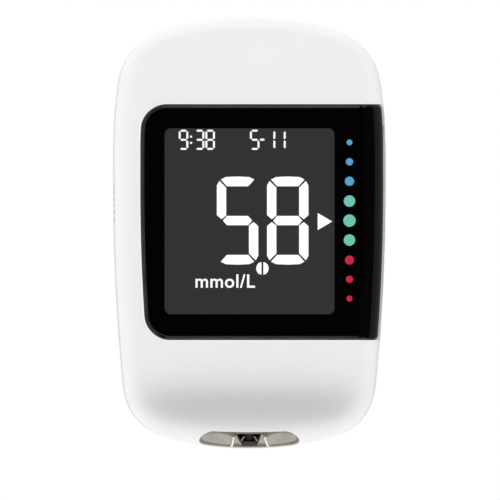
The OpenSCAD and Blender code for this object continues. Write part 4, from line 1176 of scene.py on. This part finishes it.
# CAD pieces that stay
keptFinishes = {
    "housingBack": "rear_shell", "doorPlastic": "battery_door", "foamTape": "lens_adhesive",
    "guideClear": "light_guide", "lampPhosphor": "backlight_leds", "whiteFrame": "lcd_frame",
    "layeredRubber": "zebra_strip", "boardGreen": "pcb", "chipEpoxy": "microcontroller",
    "tinPlate": "pcb_screws radio_module crystal usb_socket ejector_spring side_switches",
    "firedCeramic": "chip_parts", "slotPlastic": "strip_connector", "paleGrey": "strip_ejector",
    "satinBlack": "usb_tongue button_forward button_back switch_plunger_forward switch_plunger_back",
    "cellNickel": "coin_cell_left coin_cell_right",
    "goldPlate": "strip_contacts negative_contacts positive_contacts",
}
for finishName, nodeNames in keptFinishes.items():
    for nodeName in nodeNames.split():
        obj = nodes[nodeName]
        paint(obj, finishName)
        for poly in obj.data.polygons:
            poly.use_smooth = True
        weld = obj.modifiers.new("weld", "WELD")
        weld.merge_threshold = 1e-6
        split = obj.modifiers.new("split", "EDGE_SPLIT")
        split.split_angle = math.radians(30)
print("CAD pieces finished")


# studio
studio = {
    "floor": 1600, "floorZ": -22.5, "floorColor": (0.9, 0.9, 0.9), "floorGlow": 0.9, "floorLevel": 1.03,
    "lens": 800.0, "fieldWidth": 89.4, "centre": (0.14, -3.0), "planeZ": 9.0,
    "skyLight": 0.82, "horizon": (0.04, 0.12, 1.0, 0.02), "aim": (0, 0, 0.008),
    "flag": {"y": (-35.4, -29.4), "z": 19.5, "halfW": 19},
    "card": {"x": 42, "y": (-70, 80), "z": (-22, 24), "level": 0.24},
}
lamps = {
    "key": {"at": (-0.08, 0.66, 0.52), "size": (0.8, 0.4), "watts": 1.7, "inGloss": True},
    "left": {"at": (-0.69, 0.0, 0.12), "size": (0.7, 0.2), "watts": 0.6, "inGloss": False},
    "right": {"at": (0.69, 0.0, 0.12), "size": (0.7, 0.2), "watts": 0.6, "inGloss": False},
    "front": {"at": (0.0, -0.67, 0.14), "size": (0.7, 0.14), "watts": 0.9, "inGloss": True},
}


def addSheet(name, corners):
    return addPiece(name, corners, [(0, 1, 2, 3)], body=None, recalc=False)


def mixShader(tree, factor, a, b):
    node = addNode(tree, "MixShader")
    for value, socket in zip((factor, a, b), node.inputs):
        link(tree, value, socket)
    return node.outputs[0]


def raySeen(tree, *kinds):
    # 1 for rays of these kinds
    path = addNode(tree, "LightPath")
    seen = path.outputs[f"Is {kinds[0]} Ray"]
    for kind in kinds[1:]:
        seen = mathNode(tree, "MAXIMUM", seen, path.outputs[f"Is {kind} Ray"])
    return seen


def makeFloor():
    # low enough for the open battery door; seen from above only
    s, z = studio["floor"], studio["floorZ"]
    floor = addSheet("floor", [(-s, -s, z), (s, -s, z), (s, s, z), (-s, s, z)])
    mat, tree, shader = makeMaterial("paleFloor")
    setInputs(shader, Base_Color=(*studio["floorColor"], 1), Roughness=0.9, Specular_IOR_Level=0.0)
    glow = addNode(tree, "Emission")
    setInputs(glow, Strength=studio["floorLevel"])
    seen = mathNode(tree, "MULTIPLY", raySeen(tree, "Camera", "Transmission", "Glossy"), studio["floorGlow"])
    lit = mixShader(tree, seen, shader.outputs[0], glow.outputs[0])
    below = addNode(tree, "NewGeometry").outputs["Backfacing"]
    shown = mixShader(tree, below, lit, addNode(tree, "BsdfTransparent").outputs[0])
    link(tree, shown, tree.nodes["Material Output"].inputs["Surface"])
    paint(floor, mat)


def makeFlag():
    # small black flag over the nose, unseen itself, which darkens the slope below it
    flag = studio["flag"]
    (y0, y1), z, w = flag["y"], flag["z"], flag["halfW"]
    card = addSheet("nose_flag", [(-w, y0, z), (w, y0, z), (w, y1, z), (-w, y1, z)])
    paint(card, "foamTape")
    card.visible_camera = False
    card.visible_glossy = False


def makeCard():
    # grey card at the right that only reflections see, so the lens's right edge stays dark
    look = studio["card"]
    x, (y0, y1), (z0, z1) = look["x"], look["y"], look["z"]
    card = addSheet("side_card", [(x, y0, z0), (x, y1, z0), (x, y1, z1), (x, y0, z1)])
    mat, tree, shader = makeMaterial("greyCard")
    setInputs(shader, Base_Color=(0, 0, 0, 1), Emission_Color=(1, 1, 1, 1), Emission_Strength=look["level"])
    paint(card, mat)
    for rays in ("camera", "diffuse", "transmission", "shadow"):
        setattr(card, "visible_" + rays, False)


def makeWorld():
    # white to the camera, soft grey as light; gloss and glass see a white horizon under a dark ceiling
    world = bpy.data.worlds.new("studio")
    bpy.context.scene.world = world
    world.use_nodes = True
    tree = world.node_tree
    ground = tree.nodes["Background"]
    setInputs(ground, Color=(1, 1, 1, 1))
    split = addNode(tree, "SeparateXYZ")
    link(tree, addNode(tree, "TexCoord").outputs["Generated"], split.inputs[0])
    band = mapRange(tree, split.outputs["Z"], studio["horizon"])
    level = addNode(tree, "Mix", data_type="FLOAT")
    for value, place in ((raySeen(tree, "Glossy", "Transmission"), 0), (studio["skyLight"], 2), (band, 3)):
        link(tree, value, level.inputs[place])
    seen = mathNode(tree, "MAXIMUM", raySeen(tree, "Camera"), level.outputs[0])
    link(tree, seen, ground.inputs["Strength"])


def makeLamps():
    for name, lamp in lamps.items():
        data = bpy.data.lights.new(name, "AREA")
        data.shape = "RECTANGLE"
        data.size, data.size_y = lamp["size"]
        data.energy = lamp["watts"]
        obj = addObject(name, data)
        obj.location = lamp["at"]
        obj.visible_glossy = lamp["inGloss"]
        aim = Vector(studio["aim"]) - Vector(lamp["at"])
        obj.rotation_mode = "QUATERNION"
        obj.rotation_quaternion = aim.to_track_quat("-Z", "Y")


def makeCamera():
    data = bpy.data.cameras.new("camera")
    data.type = "PERSP"
    data.sensor_width = 36.0
    data.lens = studio["lens"]
    data.clip_start, data.clip_end = 0.05, 10
    distance = studio["fieldWidth"] * studio["lens"] / data.sensor_width
    camera = addObject("camera", data)
    x, y = studio["centre"]
    camera.location = (x * mm, y * mm, (studio["planeZ"] + distance) * mm)
    bpy.context.scene.camera = camera


makeFloor()
makeFlag()
makeCard()
makeWorld()
makeLamps()
makeCamera()
bpy.context.scene.view_settings.view_transform = "Standard"
print("studio set")
